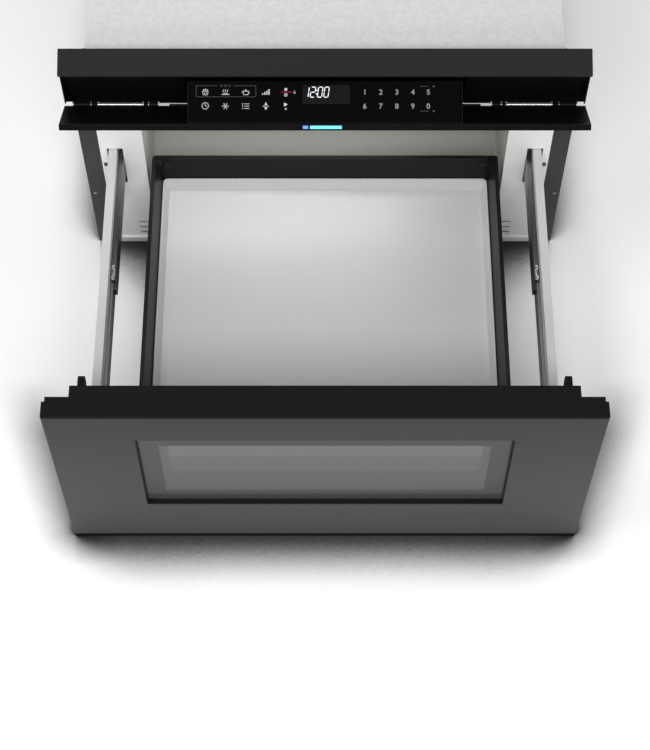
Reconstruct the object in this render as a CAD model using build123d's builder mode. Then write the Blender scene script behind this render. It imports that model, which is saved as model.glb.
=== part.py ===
from build123d import *
from math import acos, ceil, cos, degrees, floor, pi, radians, sin, sqrt, tan
import os

os.makedirs("parts", exist_ok=True)

# Millimetres. X to the right, Y into the kitchen cabinet, Z up. The origin lies under the middle of the
# case. The drawer stands open and the control panel is tilted out: every joint is at its rest value.

# ---- Case ----
case_width = 552.0
case_height = 372.0
case_depth = 554.0
case_sheet = 1.0            # galvanised sheet of the case
front_sheet = 1.5           # painted sheet of the front frame and the flanges
edge_fold = 12.0            # folded edges of the case sheets
half_case = case_width / 2
front = -case_depth / 2     # plane where the flanges meet the kitchen cabinet
back = case_depth / 2

flange_width = 22.0
flange_leg = 20.0
flange_bottom = 2.0
flange_top = 392.0
flange_hole_radius = 2.8
flange_hole_inset = 6.0     # from the flange's outer edge
flange_hole_low = 109.0
flange_hole_high = 290.0

louvre_length = 62.0
louvre_height = 3.4
louvre_pitch = 12.0
louvre_low = 22.0
louvre_end = 242.0          # outer end of the louvres, from the middle
louvre_rows = 3
groove_width = 2.4
groove_depth = 0.8
groove_reach = 259.0        # half the width of the pressed border
groove_radius = 10.0
groove_top = 128.0

# ---- Oven cavity ----
cavity_width = 444.0
cavity_floor = 100.0
cavity_top = 283.0
cavity_depth = 430.0
cavity_sheet = 1.0
cavity_flange = 8.0
cavity_radius = 6.0         # rounded corners of the opening
half_cavity = cavity_width / 2
cavity_back = front + front_sheet + cavity_depth
cavity_outside = half_cavity + cavity_sheet

well_radius = 88.0          # round well under the cavity floor for the rotating antenna
well_depth = 13.0
well_behind = 215.0         # from the flange plane to the middle of the well
well_y = front + well_behind
well_bottom = cavity_floor - well_depth

# ---- Drawer front, from the face backwards ----
door_width = 606.0
door_top = 306.8
door_bottom = 1.0
face_depth = 19.5           # outer panel
frame_depth = 5.8           # door frame behind it, one step narrower
choke_depth = 13.7          # choke frame, two steps narrower
frame_step = 3.5            # door frame inside the outer panel, each side
choke_margin = 6.0          # choke frame outside the latch hooks, each side
choke_bottom = 14.0
choke_wall = 2.0
door_sheet = 1.5
cap_height = 2.6
cap_round = 1.4
trim_height = 6.8
trim_step = 0.6             # bottom trim inside the outer panel, each side
door_edge_radius = 2.5
half_door = door_width / 2
frame_width = door_width - 2 * frame_step
door_gap = 0.3              # between the shut drawer front and the front frame
travel = 386.4              # of the drawer, from shut to open
door_back = front - door_gap - travel
door_front = door_back - choke_depth - frame_depth - face_depth

window_width = 414.0
window_bottom = 90.0
window_top = 253.5
window_recess = 7.0
window_lap = 5.0            # glass behind the recess's edge
glass_thickness = 4.0
clear_width = 360.0         # see-through middle of the window
clear_bottom = 115.0
clear_top = 228.0
screen_thickness = 0.6

hook_inner = 261.0
hook_thickness = 7.0
hook_reach = 23.0
hook_height = 22.0
hook_z = 280.0
hook_clearance = 3.0        # round the hook in the front frame
hook_round = 6.0
choke_width = 2 * (hook_inner + hook_thickness + choke_margin)

# ---- Arms and telescopic slides, right side; the left mirrors it ----
arm_inner = 254.8           # inner face of the arm
arm_width = 10.1
arm_height = 64.0
arm_sheet = 1.2
arm_bottom = 140.0
arm_behind = 54.0           # how far the arm reaches behind the flange plane when open
arm_outer = arm_inner + arm_width
arm_top = arm_bottom + arm_height
slot_inner = 248.0          # slot in the front frame
slot_clearance = 2.6        # between the arm's outer face and the slot
slot_bottom = 134.0
slot_top = 205.5
slot_notch = 6.5
slot_notch_height = 9.0

slide_z = arm_bottom + arm_height / 2
slide_sheet = 1.2
slide_length = 420.0
slide_web_gap = 1.0         # between two webs
inner_height = 26.0
middle_height = 34.0
outer_height = 42.8
ball_gap = 0.12             # running gap over the balls
ball_count = 6
slide_start = 6.0           # outer member, behind the flange plane
shut_inset = 14.0           # front ends of the moving members behind the flange plane when shut

# ---- Rack drive on the right arm ----
rack_module = 1.25
rack_width = 7.6
rack_back = 1.75            # solid rack behind the roots
pinion_teeth = 18
wheel_module = 1.0
wheel_teeth = 40
motor_teeth = 12
wheel_thickness = 6.0
pressure_angle = 20.0
tooth_play = 0.16           # thinned from each flank
drive_behind = 30.0         # pinion axis behind the flange plane
shaft_radius = 4.0
motor_shaft_radius = 2.0
running_fit = 0.05          # radial clearance of every shaft in its bore

# ---- Tray ----
tray_width = 432.0
tray_top = 164.0
tray_rim = 5.0
tray_skirt = 14.0
tray_skin = 1.5
tray_base_bottom = 106.0
tray_base_top = 131.0
tray_ledge = 4.0
tray_behind = 20.4          # rear of the open tray behind the flange plane
wall_foot = 11.0            # wall panel's foot inside the tray's outer face
wall_thickness = 3.0
post_width = 11.5
pan_floor_top = 114.0
pan_slope = 5.0             # how far the pan's wall leans in
pan_gap = 0.4
pan_rim = 2.0
half_tray = tray_width / 2
tray_back = front + tray_behind

# ---- Control panel ----
flap_length = 59.7
flap_thickness = 7.0
flap_tilt = 29.6            # above the horizontal when tilted out
flap_start = 3.6            # from the hinge axis to the flap's near edge
hinge_before = 18.7         # hinge axis in front of the flange plane
hinge_z = 316.9
hinge_pin_radius = 1.5
knuckle_radius = 3.2
hinge_inset = 9.0           # outer end of a hinge pin, from the flap's end
hinge_pin_length = 101.0
pin_tail = 1.5              # pin beyond its outer fixed knuckles
knuckle_gap = 1.0           # between a fixed knuckle and the flap's ear beside it
outer_knuckle_length = 19.5
outer_ear_length = 7.2
inner_ear_length = 5.0
inner_knuckle_length = 10.5
pin_outer = half_door - hinge_inset
pin_inner = pin_outer - hinge_pin_length
outer_knuckle = (pin_outer - pin_tail - outer_knuckle_length, pin_outer - pin_tail)
inner_knuckle = (pin_inner + pin_tail, pin_inner + pin_tail + inner_knuckle_length)
outer_ear = (outer_knuckle[0] - knuckle_gap - outer_ear_length, outer_knuckle[0] - knuckle_gap)
inner_ear = (inner_knuckle[1] + knuckle_gap, inner_knuckle[1] + knuckle_gap + inner_ear_length)
panel_glass_width = 308.0
panel_glass_length = 50.7
panel_glass_tilt = 27.0
panel_glass_thickness = 3.0
panel_glass_start = 4.0
panel_glass_round = 0.4
console_margin = 3.0
console_wall = 2.0
board_thickness = 1.6
board_below = 8.0           # under the glass's face

housing_sheet = 1.5
housing_floor = 318.0
housing_top = 380.0
housing_gap = 0.3
pocket_margin = 6.0
pocket_behind = 28.0
pocket_top = 368.0
trim_before = 28.3
trim_front_height = 3.3
trim_top = 395.3

hinge_y = front - hinge_before
tilt = radians(flap_tilt)
glass_tilt = radians(panel_glass_tilt)


def facing(y):
    """Plane at depth y that looks towards the viewer, with X and Z as its axes."""
    return Plane.XZ.offset(-y)


def block(x0, x1, y0, y1, z0, z1, mode=Mode.ADD):
    """Box between two corners, in the part that is being built."""
    with Locations(((x0 + x1) / 2, (y0 + y1) / 2, (z0 + z1) / 2)):
        Box(abs(x1 - x0), abs(y1 - y0), abs(z1 - z0), mode=mode)


def sided(sign, inner, outer):
    """Lower and upper X of a stretch that lies inner to outer from the middle, on one side."""
    return min(sign * inner, sign * outer), max(sign * inner, sign * outer)


sides = (("left", -1), ("right", 1))
standing = (Align.CENTER, Align.CENTER, Align.MIN)
hanging = (Align.CENTER, Align.CENTER, Align.MAX)
sheet_cut = 4.0             # how far a cut runs past a thin sheet

# ======== Case ========

pan_edge = half_case - case_sheet
rear_plate_y = back - 2 * case_sheet
screw_radius = 1.6
screw_head_radius = 3.6
screw_head_height = 2.0
screw_head_round = 0.8
screw_cross_length = 4.0
screw_cross_width = 0.9
screw_length = 7.0
screw_fit = 0.1
rear_screw_inset = 7.0      # from the case's floor and top
rear_screw_x = half_case - 8.0
rear_screws = [
    (x, z)
    for z in (rear_screw_inset, case_height / 2, case_height - rear_screw_inset)
    for x in (-rear_screw_x, 0.0, rear_screw_x)
    if x or z != case_height / 2
]
vent_length = 48.0          # air slots in the case's floor and sides
vent_width = 5.0
vent_pitch = 14.0
vent_count = 8
vent_x = 130.0
vent_y = back - 127.0
side_vent_y = back - 90.0
side_vent_inset = 78.0      # from the case's floor and top

with BuildPart() as base_pan:
    with BuildSketch():
        with Locations((0, (front + front_sheet + rear_plate_y) / 2)):
            Rectangle(2 * pan_edge, rear_plate_y - front - front_sheet)
        with Locations((-vent_x, vent_y), (vent_x, vent_y)):
            with GridLocations(vent_pitch, vent_length + edge_fold, vent_count, 2):
                SlotOverall(vent_length, vent_width, rotation=90, mode=Mode.SUBTRACT)
    extrude(amount=case_sheet)
    for _, sign in sides:
        x0, x1 = sided(sign, pan_edge - case_sheet, pan_edge)
        block(x0, x1, front + front_sheet, rear_plate_y, 0, edge_fold)
base_pan.part.label = "base_pan"
export_step(base_pan.part, "parts/base_pan.step")

with BuildPart() as case_wrap:
    with BuildSketch(facing(front + front_sheet)):
        with Locations((0, case_height / 2)):
            Rectangle(case_width, case_height)
        with Locations((0, case_height / 2 - case_sheet)):
            Rectangle(2 * pan_edge, case_height, mode=Mode.SUBTRACT)
    extrude(amount=-(case_depth - front_sheet))
    # folded rear edge that the rear panel is screwed to
    with BuildSketch(facing(back - case_sheet)):
        with Locations((0, case_height / 2)):
            Rectangle(2 * pan_edge, case_height - 2 * case_sheet)
            Rectangle(2 * pan_edge - 2 * edge_fold, case_height - 2 * edge_fold, mode=Mode.SUBTRACT)
        with Locations(*rear_screws):
            Circle(screw_radius + screw_fit, mode=Mode.SUBTRACT)
    extrude(amount=-case_sheet)
    # air slots low and high in both sides
    with BuildSketch(Plane.YZ.offset(-half_case)):
        with Locations((side_vent_y, side_vent_inset), (side_vent_y, case_height - side_vent_inset)):
            with GridLocations(vent_pitch, 1, vent_count, 1):
                SlotOverall(vent_length, vent_width, rotation=90)
    extrude(amount=case_width, mode=Mode.SUBTRACT)
case_wrap.part.label = "case_wrap"
export_step(case_wrap.part, "parts/case_wrap.step")

bushing_radius = 9.0
bushing_reach = 6.0         # out of the case
bushing_length = 14.0
bushing_collar = 4.0
bushing_collar_depth = 5.0
cord_hole_radius = 4.2
bushing_x = 205.0
bushing_z = 52.0
fan_grille_x = 100.0
fan_grille_z = 215.0
fan_grille_height = 110.0
fan_slot_width = 4.0
fan_slot_pitch = 11.0
fan_slot_count = 13

with BuildPart() as rear_panel:
    with BuildSketch(facing(rear_plate_y)):
        with Locations((0, case_height / 2)):
            Rectangle(2 * pan_edge, case_height - 2 * case_sheet)
        with Locations(*rear_screws):
            Circle(screw_radius + screw_fit, mode=Mode.SUBTRACT)
        with Locations((bushing_x, bushing_z)):
            Circle(bushing_radius, mode=Mode.SUBTRACT)
        with Locations((-fan_grille_x, fan_grille_z)):
            with GridLocations(fan_slot_pitch, 1, fan_slot_count, 1):
                SlotOverall(fan_grille_height, fan_slot_width, rotation=90, mode=Mode.SUBTRACT)
    extrude(amount=-case_sheet)
rear_panel.part.label = "rear_panel"
export_step(rear_panel.part, "parts/rear_panel.step")

with BuildPart() as cabinet_screws:
    with BuildSketch(facing(back)):
        with Locations(*rear_screws):
            Circle(screw_head_radius)
    extrude(amount=-screw_head_height)
    fillet(cabinet_screws.edges().group_by(Axis.Y)[-1], screw_head_round)
    with BuildSketch(facing(back)):
        with Locations(*rear_screws):
            Circle(screw_radius)
    extrude(amount=screw_length)
    with BuildSketch(facing(back + screw_head_height)):
        with Locations(*rear_screws):
            Rectangle(screw_cross_length, screw_cross_width)
            Rectangle(screw_cross_width, screw_cross_length)
    extrude(amount=screw_head_height / 2, mode=Mode.SUBTRACT)
cabinet_screws.part.label = "cabinet_screws"
export_step(cabinet_screws.part, "parts/cabinet_screws.step")

with BuildPart() as cord_bushing:
    with BuildSketch(facing(back + bushing_reach)):
        with Locations((bushing_x, bushing_z)):
            Circle(bushing_radius - screw_fit)
    extrude(amount=bushing_length)
    with BuildSketch(facing(rear_plate_y + case_sheet)):
        with Locations((bushing_x, bushing_z)):
            Circle(bushing_radius + bushing_collar)
    extrude(amount=-bushing_collar_depth)
    with BuildSketch(facing(back + bushing_reach)):
        with Locations((bushing_x, bushing_z)):
            Circle(cord_hole_radius)
    extrude(amount=bushing_length, mode=Mode.SUBTRACT)
cord_bushing.part.label = "cord_bushing"
export_step(cord_bushing.part, "parts/cord_bushing.step")

# The white front frame closes the case and carries the housing of the control panel.
pocket_half = panel_glass_width / 2 + console_margin + pocket_margin
hook_slot_height = hook_height + 2 * hook_clearance
slot_outer = arm_outer + slot_clearance

with BuildPart() as front_frame:
    with BuildSketch(facing(front + front_sheet)):
        with Locations((0, case_height / 2)):
            Rectangle(case_width, case_height)
        with Locations((0, (cavity_floor + cavity_top) / 2)):
            RectangleRounded(cavity_width, cavity_top - cavity_floor, cavity_radius, mode=Mode.SUBTRACT)
        with Locations((0, (housing_floor + pocket_top + housing_sheet) / 2)):
            Rectangle(
                2 * (pocket_half + housing_sheet + housing_gap),
                pocket_top + housing_sheet - housing_floor + 2 * housing_gap,
                mode=Mode.SUBTRACT,
            )
        for _, sign in sides:
            with Locations((sign * (slot_inner + slot_outer) / 2, (slot_bottom + slot_top) / 2)):
                Rectangle(slot_outer - slot_inner, slot_top - slot_bottom, mode=Mode.SUBTRACT)
            with Locations((sign * (slot_outer + (slot_notch - sheet_cut) / 2), slide_z)):
                Rectangle(slot_notch + sheet_cut, slot_notch_height, mode=Mode.SUBTRACT)
            with Locations((sign * (hook_inner + hook_thickness / 2), hook_z)):
                Rectangle(hook_thickness + 2 * hook_clearance, hook_slot_height, mode=Mode.SUBTRACT)
            with Locations((sign * (louvre_end - louvre_length / 2), louvre_low + louvre_pitch)):
                with GridLocations(1, louvre_pitch, 1, louvre_rows):
                    SlotOverall(louvre_length, louvre_height, mode=Mode.SUBTRACT)
    extrude(amount=front_sheet)
    # pressed border under the arms
    with BuildSketch(facing(front)) as border:
        with Locations((0, (louvre_low + groove_top) / 2)):
            RectangleRounded(2 * groove_reach, groove_top - louvre_low, groove_radius)
            RectangleRounded(
                2 * (groove_reach - groove_width),
                groove_top - louvre_low - 2 * groove_width,
                groove_radius - groove_width,
                mode=Mode.SUBTRACT,
            )
        with Locations((0, groove_top)):
            Rectangle(2 * louvre_end, 4 * groove_radius, mode=Mode.SUBTRACT)
    extrude(amount=-groove_depth, mode=Mode.SUBTRACT)
front_frame.part.label = "front_frame"
export_step(front_frame.part, "parts/front_frame.step")

with BuildPart() as mounting_flanges:
    for _, sign in sides:
        hole_x = sign * (half_case + flange_width - flange_hole_inset)
        with BuildSketch(facing(front + front_sheet)):
            with Locations((sign * (half_case + flange_width / 2), (flange_bottom + flange_top) / 2)):
                Rectangle(flange_width, flange_top - flange_bottom)
            with Locations((hole_x, flange_hole_low), (hole_x, flange_hole_high)):
                Circle(flange_hole_radius, mode=Mode.SUBTRACT)
        extrude(amount=front_sheet)
        x0, x1 = sided(sign, half_case, half_case + front_sheet)
        block(x0, x1, front + front_sheet, front + flange_leg, flange_bottom, case_height)
mounting_flanges.part.label = "mounting_flanges"
export_step(mounting_flanges.part, "parts/mounting_flanges.step")

# ======== Oven ========

antenna_hole = 16.0
guide_half = 42.0
guide_height = 38.0
guide_front = well_y - 40.0
guide_top = well_bottom - cavity_sheet
magnetron_y = cavity_back + 54.0
guide_back = magnetron_y + 32.0
lamp_y = cavity_back - 60.0
lamp_z = cavity_top - 45.0
side_hole_radius = 1.8      # lamp holes and exhaust holes
side_hole_pitch = 8.0
side_hole_columns = 6
side_hole_rows = 4

with BuildPart() as oven_cavity:
    block(-cavity_outside, cavity_outside, front + front_sheet, cavity_back + cavity_sheet,
          cavity_floor - cavity_sheet, cavity_top + cavity_sheet)
    edge = cavity_outside + cavity_flange
    block(-edge, edge, front + front_sheet, front + front_sheet + cavity_sheet,
          cavity_floor - cavity_flange, cavity_top + cavity_flange)
    with Locations((0, well_y, well_bottom - cavity_sheet)):
        Cylinder(well_radius + cavity_sheet, well_depth, align=standing)
    with BuildSketch(facing(front + front_sheet)):
        with Locations((0, (cavity_floor + cavity_top) / 2)):
            RectangleRounded(cavity_width, cavity_top - cavity_floor, cavity_radius)
    extrude(amount=-cavity_depth, mode=Mode.SUBTRACT)
    with Locations((0, well_y, well_bottom)):
        Cylinder(well_radius, well_depth + cavity_sheet, align=standing, mode=Mode.SUBTRACT)
    with Locations((0, well_y, well_bottom - cavity_sheet)):
        Cylinder(antenna_hole, sheet_cut, mode=Mode.SUBTRACT)
    # lamp and exhaust holes high in the side walls
    with BuildSketch(Plane.YZ.offset(-cavity_outside - cavity_sheet)):
        with Locations((lamp_y, lamp_z)):
            with GridLocations(side_hole_pitch, side_hole_pitch, side_hole_columns, side_hole_rows):
                Circle(side_hole_radius)
    extrude(amount=2 * (cavity_outside + cavity_sheet), mode=Mode.SUBTRACT)
oven_cavity.part.label = "oven_cavity"
export_step(oven_cavity.part, "parts/oven_cavity.step")

cover_thickness = 1.2
cover_lap = 8.0
cover_round = 0.5

with BuildPart() as antenna_cover:
    with Locations((0, well_y, cavity_floor)):
        Cylinder(well_radius + cover_lap, cover_thickness, align=standing)
    fillet(antenna_cover.edges().group_by(Axis.Z)[-1], cover_round)
antenna_cover.part.label = "antenna_cover"
export_step(antenna_cover.part, "parts/antenna_cover.step")

antenna_shaft_radius = 3.0
antenna_shaft_play = 0.6    # round the shaft in the waveguide's floor
launch_hole_radius = 10.0   # for the magnetron's antenna

with BuildPart() as waveguide:
    block(-guide_half, guide_half, guide_front, guide_back, guide_top - guide_height, guide_top)
    block(-guide_half + cavity_sheet, guide_half - cavity_sheet, guide_front + cavity_sheet,
          guide_back - cavity_sheet, guide_top - guide_height + cavity_sheet, guide_top - cavity_sheet,
          mode=Mode.SUBTRACT)
    with Locations((0, well_y, guide_top)):
        Cylinder(antenna_hole, sheet_cut, mode=Mode.SUBTRACT)
    with Locations((0, well_y, guide_top - guide_height)):
        Cylinder(antenna_shaft_radius + antenna_shaft_play, sheet_cut, mode=Mode.SUBTRACT)
    with Locations((0, magnetron_y, guide_top)):
        Cylinder(launch_hole_radius, sheet_cut, mode=Mode.SUBTRACT)
waveguide.part.label = "waveguide"
export_step(waveguide.part, "parts/waveguide.step")

magnetron_plate = (94.0, 62.0, 1.6)
magnetron_height = 84.0
anode_radius = 17.0
launch_radius = 7.0
launch_reach = 20.0         # into the waveguide
yoke_width = 80.0
yoke_depth = 60.0
yoke_sheet = 2.0
yoke_foot = 10.0            # above the plate's underside
fin_count = 7
fin_pitch = 8.0
fin_thickness = 0.8
fin_inset = 1.0
filter_box = (72.0, 54.0, 26.0)

with BuildPart() as magnetron:
    yoke_low = guide_top + yoke_foot
    yoke_high = guide_top + magnetron_height
    with Locations((0, magnetron_y, yoke_low)):
        Box(yoke_width, yoke_depth, yoke_high - yoke_low, align=standing)
    # the yoke is open to the front and rear for the cooling air
    with Locations((0, magnetron_y, yoke_low + yoke_sheet)):
        Box(yoke_width - 2 * yoke_sheet, yoke_depth, yoke_high - yoke_low - 2 * yoke_sheet, align=standing,
            mode=Mode.SUBTRACT)
    with Locations((0, magnetron_y, guide_top)):
        Box(*magnetron_plate, align=standing)
        Cylinder(anode_radius, magnetron_height, align=standing)
    with Locations((0, magnetron_y, guide_top - launch_reach)):
        Cylinder(launch_radius, launch_reach + yoke_sheet, align=standing)
    for fin in range(fin_count):
        rise = (fin - (fin_count - 1) / 2) * fin_pitch
        with Locations((0, magnetron_y, (yoke_low + yoke_high) / 2 + rise)):
            Box(yoke_width - 2 * fin_inset, yoke_depth - 4 * fin_inset, fin_thickness)
    with Locations((0, magnetron_y, yoke_high)):
        Box(*filter_box, align=standing)
magnetron.part.label = "magnetron"
export_step(magnetron.part, "parts/magnetron.step")

antenna_motor_top = guide_top - guide_height
antenna_motor_height = 15.0
antenna_motor_radius = 25.0
motor_ear_length = 72.0
motor_ear_width = 14.0
motor_ear_holes = 60.0
motor_ear_hole_radius = 2.0
motor_ear_thickness = 1.5

with BuildPart() as antenna_motor:
    with Locations((0, well_y, antenna_motor_top)):
        Cylinder(antenna_motor_radius, antenna_motor_height, align=hanging)
    with BuildSketch(Plane.XY.offset(antenna_motor_top)):
        with Locations((0, well_y)):
            SlotOverall(motor_ear_length, motor_ear_width)
            with GridLocations(motor_ear_holes, 1, 2, 1):
                Circle(motor_ear_hole_radius, mode=Mode.SUBTRACT)
    extrude(amount=-motor_ear_thickness)
    with Locations((0, well_y, antenna_motor_top)):
        Cylinder(antenna_shaft_radius + running_fit, antenna_motor_height * 4 / 3, mode=Mode.SUBTRACT)
antenna_motor.part.label = "antenna_motor"
export_step(antenna_motor.part, "parts/antenna_motor.step")

antenna_z = well_bottom + 5.0
antenna_sheet = 1.5
antenna_radius = well_radius - 16.0
antenna_slot_ring = 46.0
antenna_slot_length = 34.0
antenna_slot_width = 14.0
antenna_notch_width = 50.0
antenna_notch_depth = 22.0
antenna_hub_radius = 8.0
antenna_hub_height = 9.0
antenna_shaft_seat = 9.0    # in the motor

with BuildPart() as rotating_antenna:
    with BuildSketch(Plane.XY.offset(antenna_z)):
        with Locations((0, well_y)):
            Circle(antenna_radius)
            with PolarLocations(antenna_slot_ring, 6):
                SlotOverall(antenna_slot_length, antenna_slot_width, rotation=90, mode=Mode.SUBTRACT)
        with Locations((0, well_y + antenna_radius)):
            Rectangle(antenna_notch_width, antenna_notch_depth, mode=Mode.SUBTRACT)
    extrude(amount=antenna_sheet)
    with Locations((0, well_y, antenna_z + antenna_sheet)):
        shaft_length = antenna_z + antenna_sheet - antenna_motor_top + antenna_shaft_seat
        Cylinder(antenna_hub_radius, antenna_hub_height, align=hanging)
        Cylinder(antenna_shaft_radius, shaft_length, align=hanging)
rotating_antenna.part.label = "rotating_antenna"
export_step(rotating_antenna.part, "parts/rotating_antenna.step")

# ======== Power, cooling and light behind and under the cavity ========

core_x = -165.0
core_y = cavity_back + 58.0
core_width = 104.0
core_depth = 62.0
core_height = 88.0
core_window = 19.0
core_window_height = 56.0
core_limb = 34.0
core_foot = 12.0            # foot plate beyond the core, each side
core_foot_thickness = 3.0
coil_gap = 0.5
coil_radius = 9.0
coil_shares = ((0.0, 0.36), (0.42, 1.0))        # primary and secondary, of the window's height

with BuildPart() as transformer_core:
    with BuildSketch(facing(core_y - core_depth / 2)):
        with Locations((core_x, case_sheet + core_height / 2)):
            Rectangle(core_width, core_height)
            with GridLocations(core_limb + core_window, 1, 2, 1):
                Rectangle(core_window, core_window_height, mode=Mode.SUBTRACT)
    extrude(amount=-core_depth)
    with Locations((core_x, core_y, case_sheet)):
        Box(core_width + 2 * core_foot, core_depth, core_foot_thickness, align=standing)
transformer_core.part.label = "transformer_core"
export_step(transformer_core.part, "parts/transformer_core.step")

with BuildPart() as transformer_windings:
    for low, high in coil_shares:
        z0 = case_sheet + core_height / 2 - core_window_height / 2 + coil_gap
        span = core_window_height - 2 * coil_gap
        with BuildSketch(Plane.XY.offset(z0 + low * span)):
            with Locations((core_x, core_y)):
                reach = 2 * (core_window - coil_gap)
                RectangleRounded(core_limb + reach, core_depth + reach, coil_radius)
                Rectangle(core_limb, core_depth, mode=Mode.SUBTRACT)
        extrude(amount=(high - low) * span)
transformer_windings.part.label = "transformer_windings"
export_step(transformer_windings.part, "parts/transformer_windings.step")

capacitor_x = -71.0
capacitor_width = 54.0
capacitor_depth = 32.0
capacitor_height = 82.0
capacitor_round = 2.0
terminal_pitch = 20.0
terminal_blade = (6.3, 0.8, 9.0)

with BuildPart() as capacitor:
    with BuildSketch(Plane.XY.offset(case_sheet)):
        with Locations((capacitor_x, core_y)):
            SlotOverall(capacitor_width, capacitor_depth)
    extrude(amount=capacitor_height)
    fillet(capacitor.edges().group_by(Axis.Z)[-1], capacitor_round)
    with Locations((capacitor_x, core_y, case_sheet + capacitor_height)):
        with GridLocations(terminal_pitch, 1, 2, 1):
            Box(*terminal_blade, align=standing)
capacitor.part.label = "capacitor"
export_step(capacitor.part, "parts/capacitor.step")

board_x = 140.0
board_y = front + 190.0
board_z = case_sheet + 11.0
board_width = 120.0
board_length = 210.0
standoff_radius = 3.0
standoff_inset = 6.0
relay_box = (19.0, 26.0, 16.0)
relay_pitch_x = 26.0
relay_pitch_y = 36.0
relay_place = (-21.0, 52.0)         # middle of the four relays, from the board's middle
coil_box = (46.0, 40.0, 32.0)
coil_place = (20.0, -60.0)
can_radius = 9.0
can_height = 28.0
can_pitch = 28.0
can_place = (-36.0, -56.0)
cooler_fin = (2.0, 44.0, 24.0)
cooler_pitch = 6.0
cooler_place = (34.0, 10.0)

with BuildPart() as power_board:
    with Locations((board_x, board_y, board_z)):
        Box(board_width, board_length, board_thickness, align=standing)
        with GridLocations(board_width - 2 * standoff_inset, board_length - 2 * standoff_inset, 2, 2):
            Cylinder(standoff_radius, board_z - case_sheet, align=hanging)
    with Locations((board_x, board_y, board_z + board_thickness)):
        with Locations(relay_place):
            with GridLocations(relay_pitch_x, relay_pitch_y, 2, 2):
                Box(*relay_box, align=standing)
        with Locations(coil_place):
            Box(*coil_box, align=standing)
        with Locations(can_place):
            with GridLocations(1, can_pitch, 1, 2):
                Cylinder(can_radius, can_height, align=standing)
        with Locations(cooler_place):
            with GridLocations(cooler_pitch, 1, 5, 1):
                Box(*cooler_fin, align=standing)
power_board.part.label = "power_board"
export_step(power_board.part, "parts/power_board.step")

blower_radius = 46.0
blower_width = 50.0
blower_wall = 2.0
blower_gap = 4.0            # between the housing and the rear panel
blower_foot = (8.0, 12.0, 40.0)
blower_x = -fan_grille_x
blower_z = fan_grille_z
blower_y = rear_plate_y - blower_radius - blower_gap
wheel_radius = 36.0
wheel_width = 36.0
wheel_plate = 2.0
wheel_gap = 5.0             # from the housing's outer face
wheel_ring = 9.0
blade_count = 20
blade_length = 9.0
blade_thickness = 1.2
blade_angle = 28.0
intake_lap = 8.0            # wheel's rim behind the edge of the air intake
hub_radius = 7.0
hub_length = 16.0
blower_shaft_radius = 3.0
blower_shaft_play = 2.0     # round the shaft in the housing's wall
blower_motor_radius = 27.0
blower_motor_length = 34.0
blower_motor_round = 5.0
blower_shaft_seat = 20.0    # in the motor

with BuildPart() as blower_housing:
    scroll = Plane.YZ.offset(blower_x - blower_width / 2)
    with BuildSketch(scroll):
        with Locations((blower_y, blower_z)):
            Circle(blower_radius)
        with Locations((blower_y - blower_radius / 2, blower_z - blower_radius)):
            Rectangle(blower_radius, 2 * blower_radius)
    extrude(amount=blower_width)
    # feet against the rear panel
    with Locations((blower_x, rear_plate_y, blower_z)):
        with GridLocations(blower_width - blower_foot[0], 1, 2, 1):
            Box(*blower_foot, align=(Align.CENTER, Align.MAX, Align.CENTER))
    with BuildSketch(scroll.offset(blower_wall)):
        with Locations((blower_y, blower_z)):
            Circle(blower_radius - blower_wall)
        with Locations((blower_y - blower_radius / 2, blower_z - blower_radius - blower_wall)):
            Rectangle(blower_radius - 2 * blower_wall, 2 * blower_radius)
    extrude(amount=blower_width - 2 * blower_wall, mode=Mode.SUBTRACT)
    with BuildSketch(scroll):
        with Locations((blower_y, blower_z)):
            Circle(wheel_radius - intake_lap)
    extrude(amount=2 * blower_wall, mode=Mode.SUBTRACT)
    with BuildSketch(scroll.offset(blower_width - 2 * blower_wall)):
        with Locations((blower_y, blower_z)):
            Circle(blower_shaft_radius + blower_shaft_play)
    extrude(amount=2 * blower_wall, mode=Mode.SUBTRACT)
blower_housing.part.label = "blower_housing"
export_step(blower_housing.part, "parts/blower_housing.step")

motor_face = blower_x + blower_width / 2

with BuildPart() as blower_motor:
    with BuildSketch(Plane.YZ.offset(motor_face)):
        with Locations((blower_y, blower_z)):
            Circle(blower_motor_radius)
    extrude(amount=blower_motor_length)
    fillet(blower_motor.edges().filter_by(GeomType.CIRCLE).group_by(Axis.X)[-1], blower_motor_round)
    with BuildSketch(Plane.YZ.offset(motor_face)):
        with Locations((blower_y, blower_z)):
            Circle(blower_shaft_radius + running_fit)
    extrude(amount=blower_shaft_seat + 1, mode=Mode.SUBTRACT)
blower_motor.part.label = "blower_motor"
export_step(blower_motor.part, "parts/blower_motor.step")

with BuildPart() as blower_wheel:
    wheel_start = blower_x - blower_width / 2 + wheel_gap
    wheel_plane = Plane.YZ.offset(wheel_start)
    with BuildSketch(wheel_plane):
        with Locations((blower_y, blower_z)):
            with PolarLocations(wheel_radius - blade_length / 2, blade_count):
                Rectangle(blade_length, blade_thickness, rotation=blade_angle)
    extrude(amount=wheel_width)
    with BuildSketch(wheel_plane):
        with Locations((blower_y, blower_z)):
            Circle(wheel_radius)
            Circle(wheel_radius - wheel_ring, mode=Mode.SUBTRACT)
    extrude(amount=wheel_plate)
    with BuildSketch(wheel_plane.offset(wheel_width - wheel_plate)):
        with Locations((blower_y, blower_z)):
            Circle(wheel_radius)
    extrude(amount=wheel_plate)
    hub_plane = wheel_plane.offset(wheel_width - hub_length)
    with BuildSketch(hub_plane):
        with Locations((blower_y, blower_z)):
            Circle(hub_radius)
    extrude(amount=hub_length)
    with BuildSketch(hub_plane):
        with Locations((blower_y, blower_z)):
            Circle(blower_shaft_radius)
    extrude(amount=motor_face + blower_shaft_seat - wheel_start - wheel_width + hub_length)
blower_wheel.part.label = "blower_wheel"
export_step(blower_wheel.part, "parts/blower_wheel.step")

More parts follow.
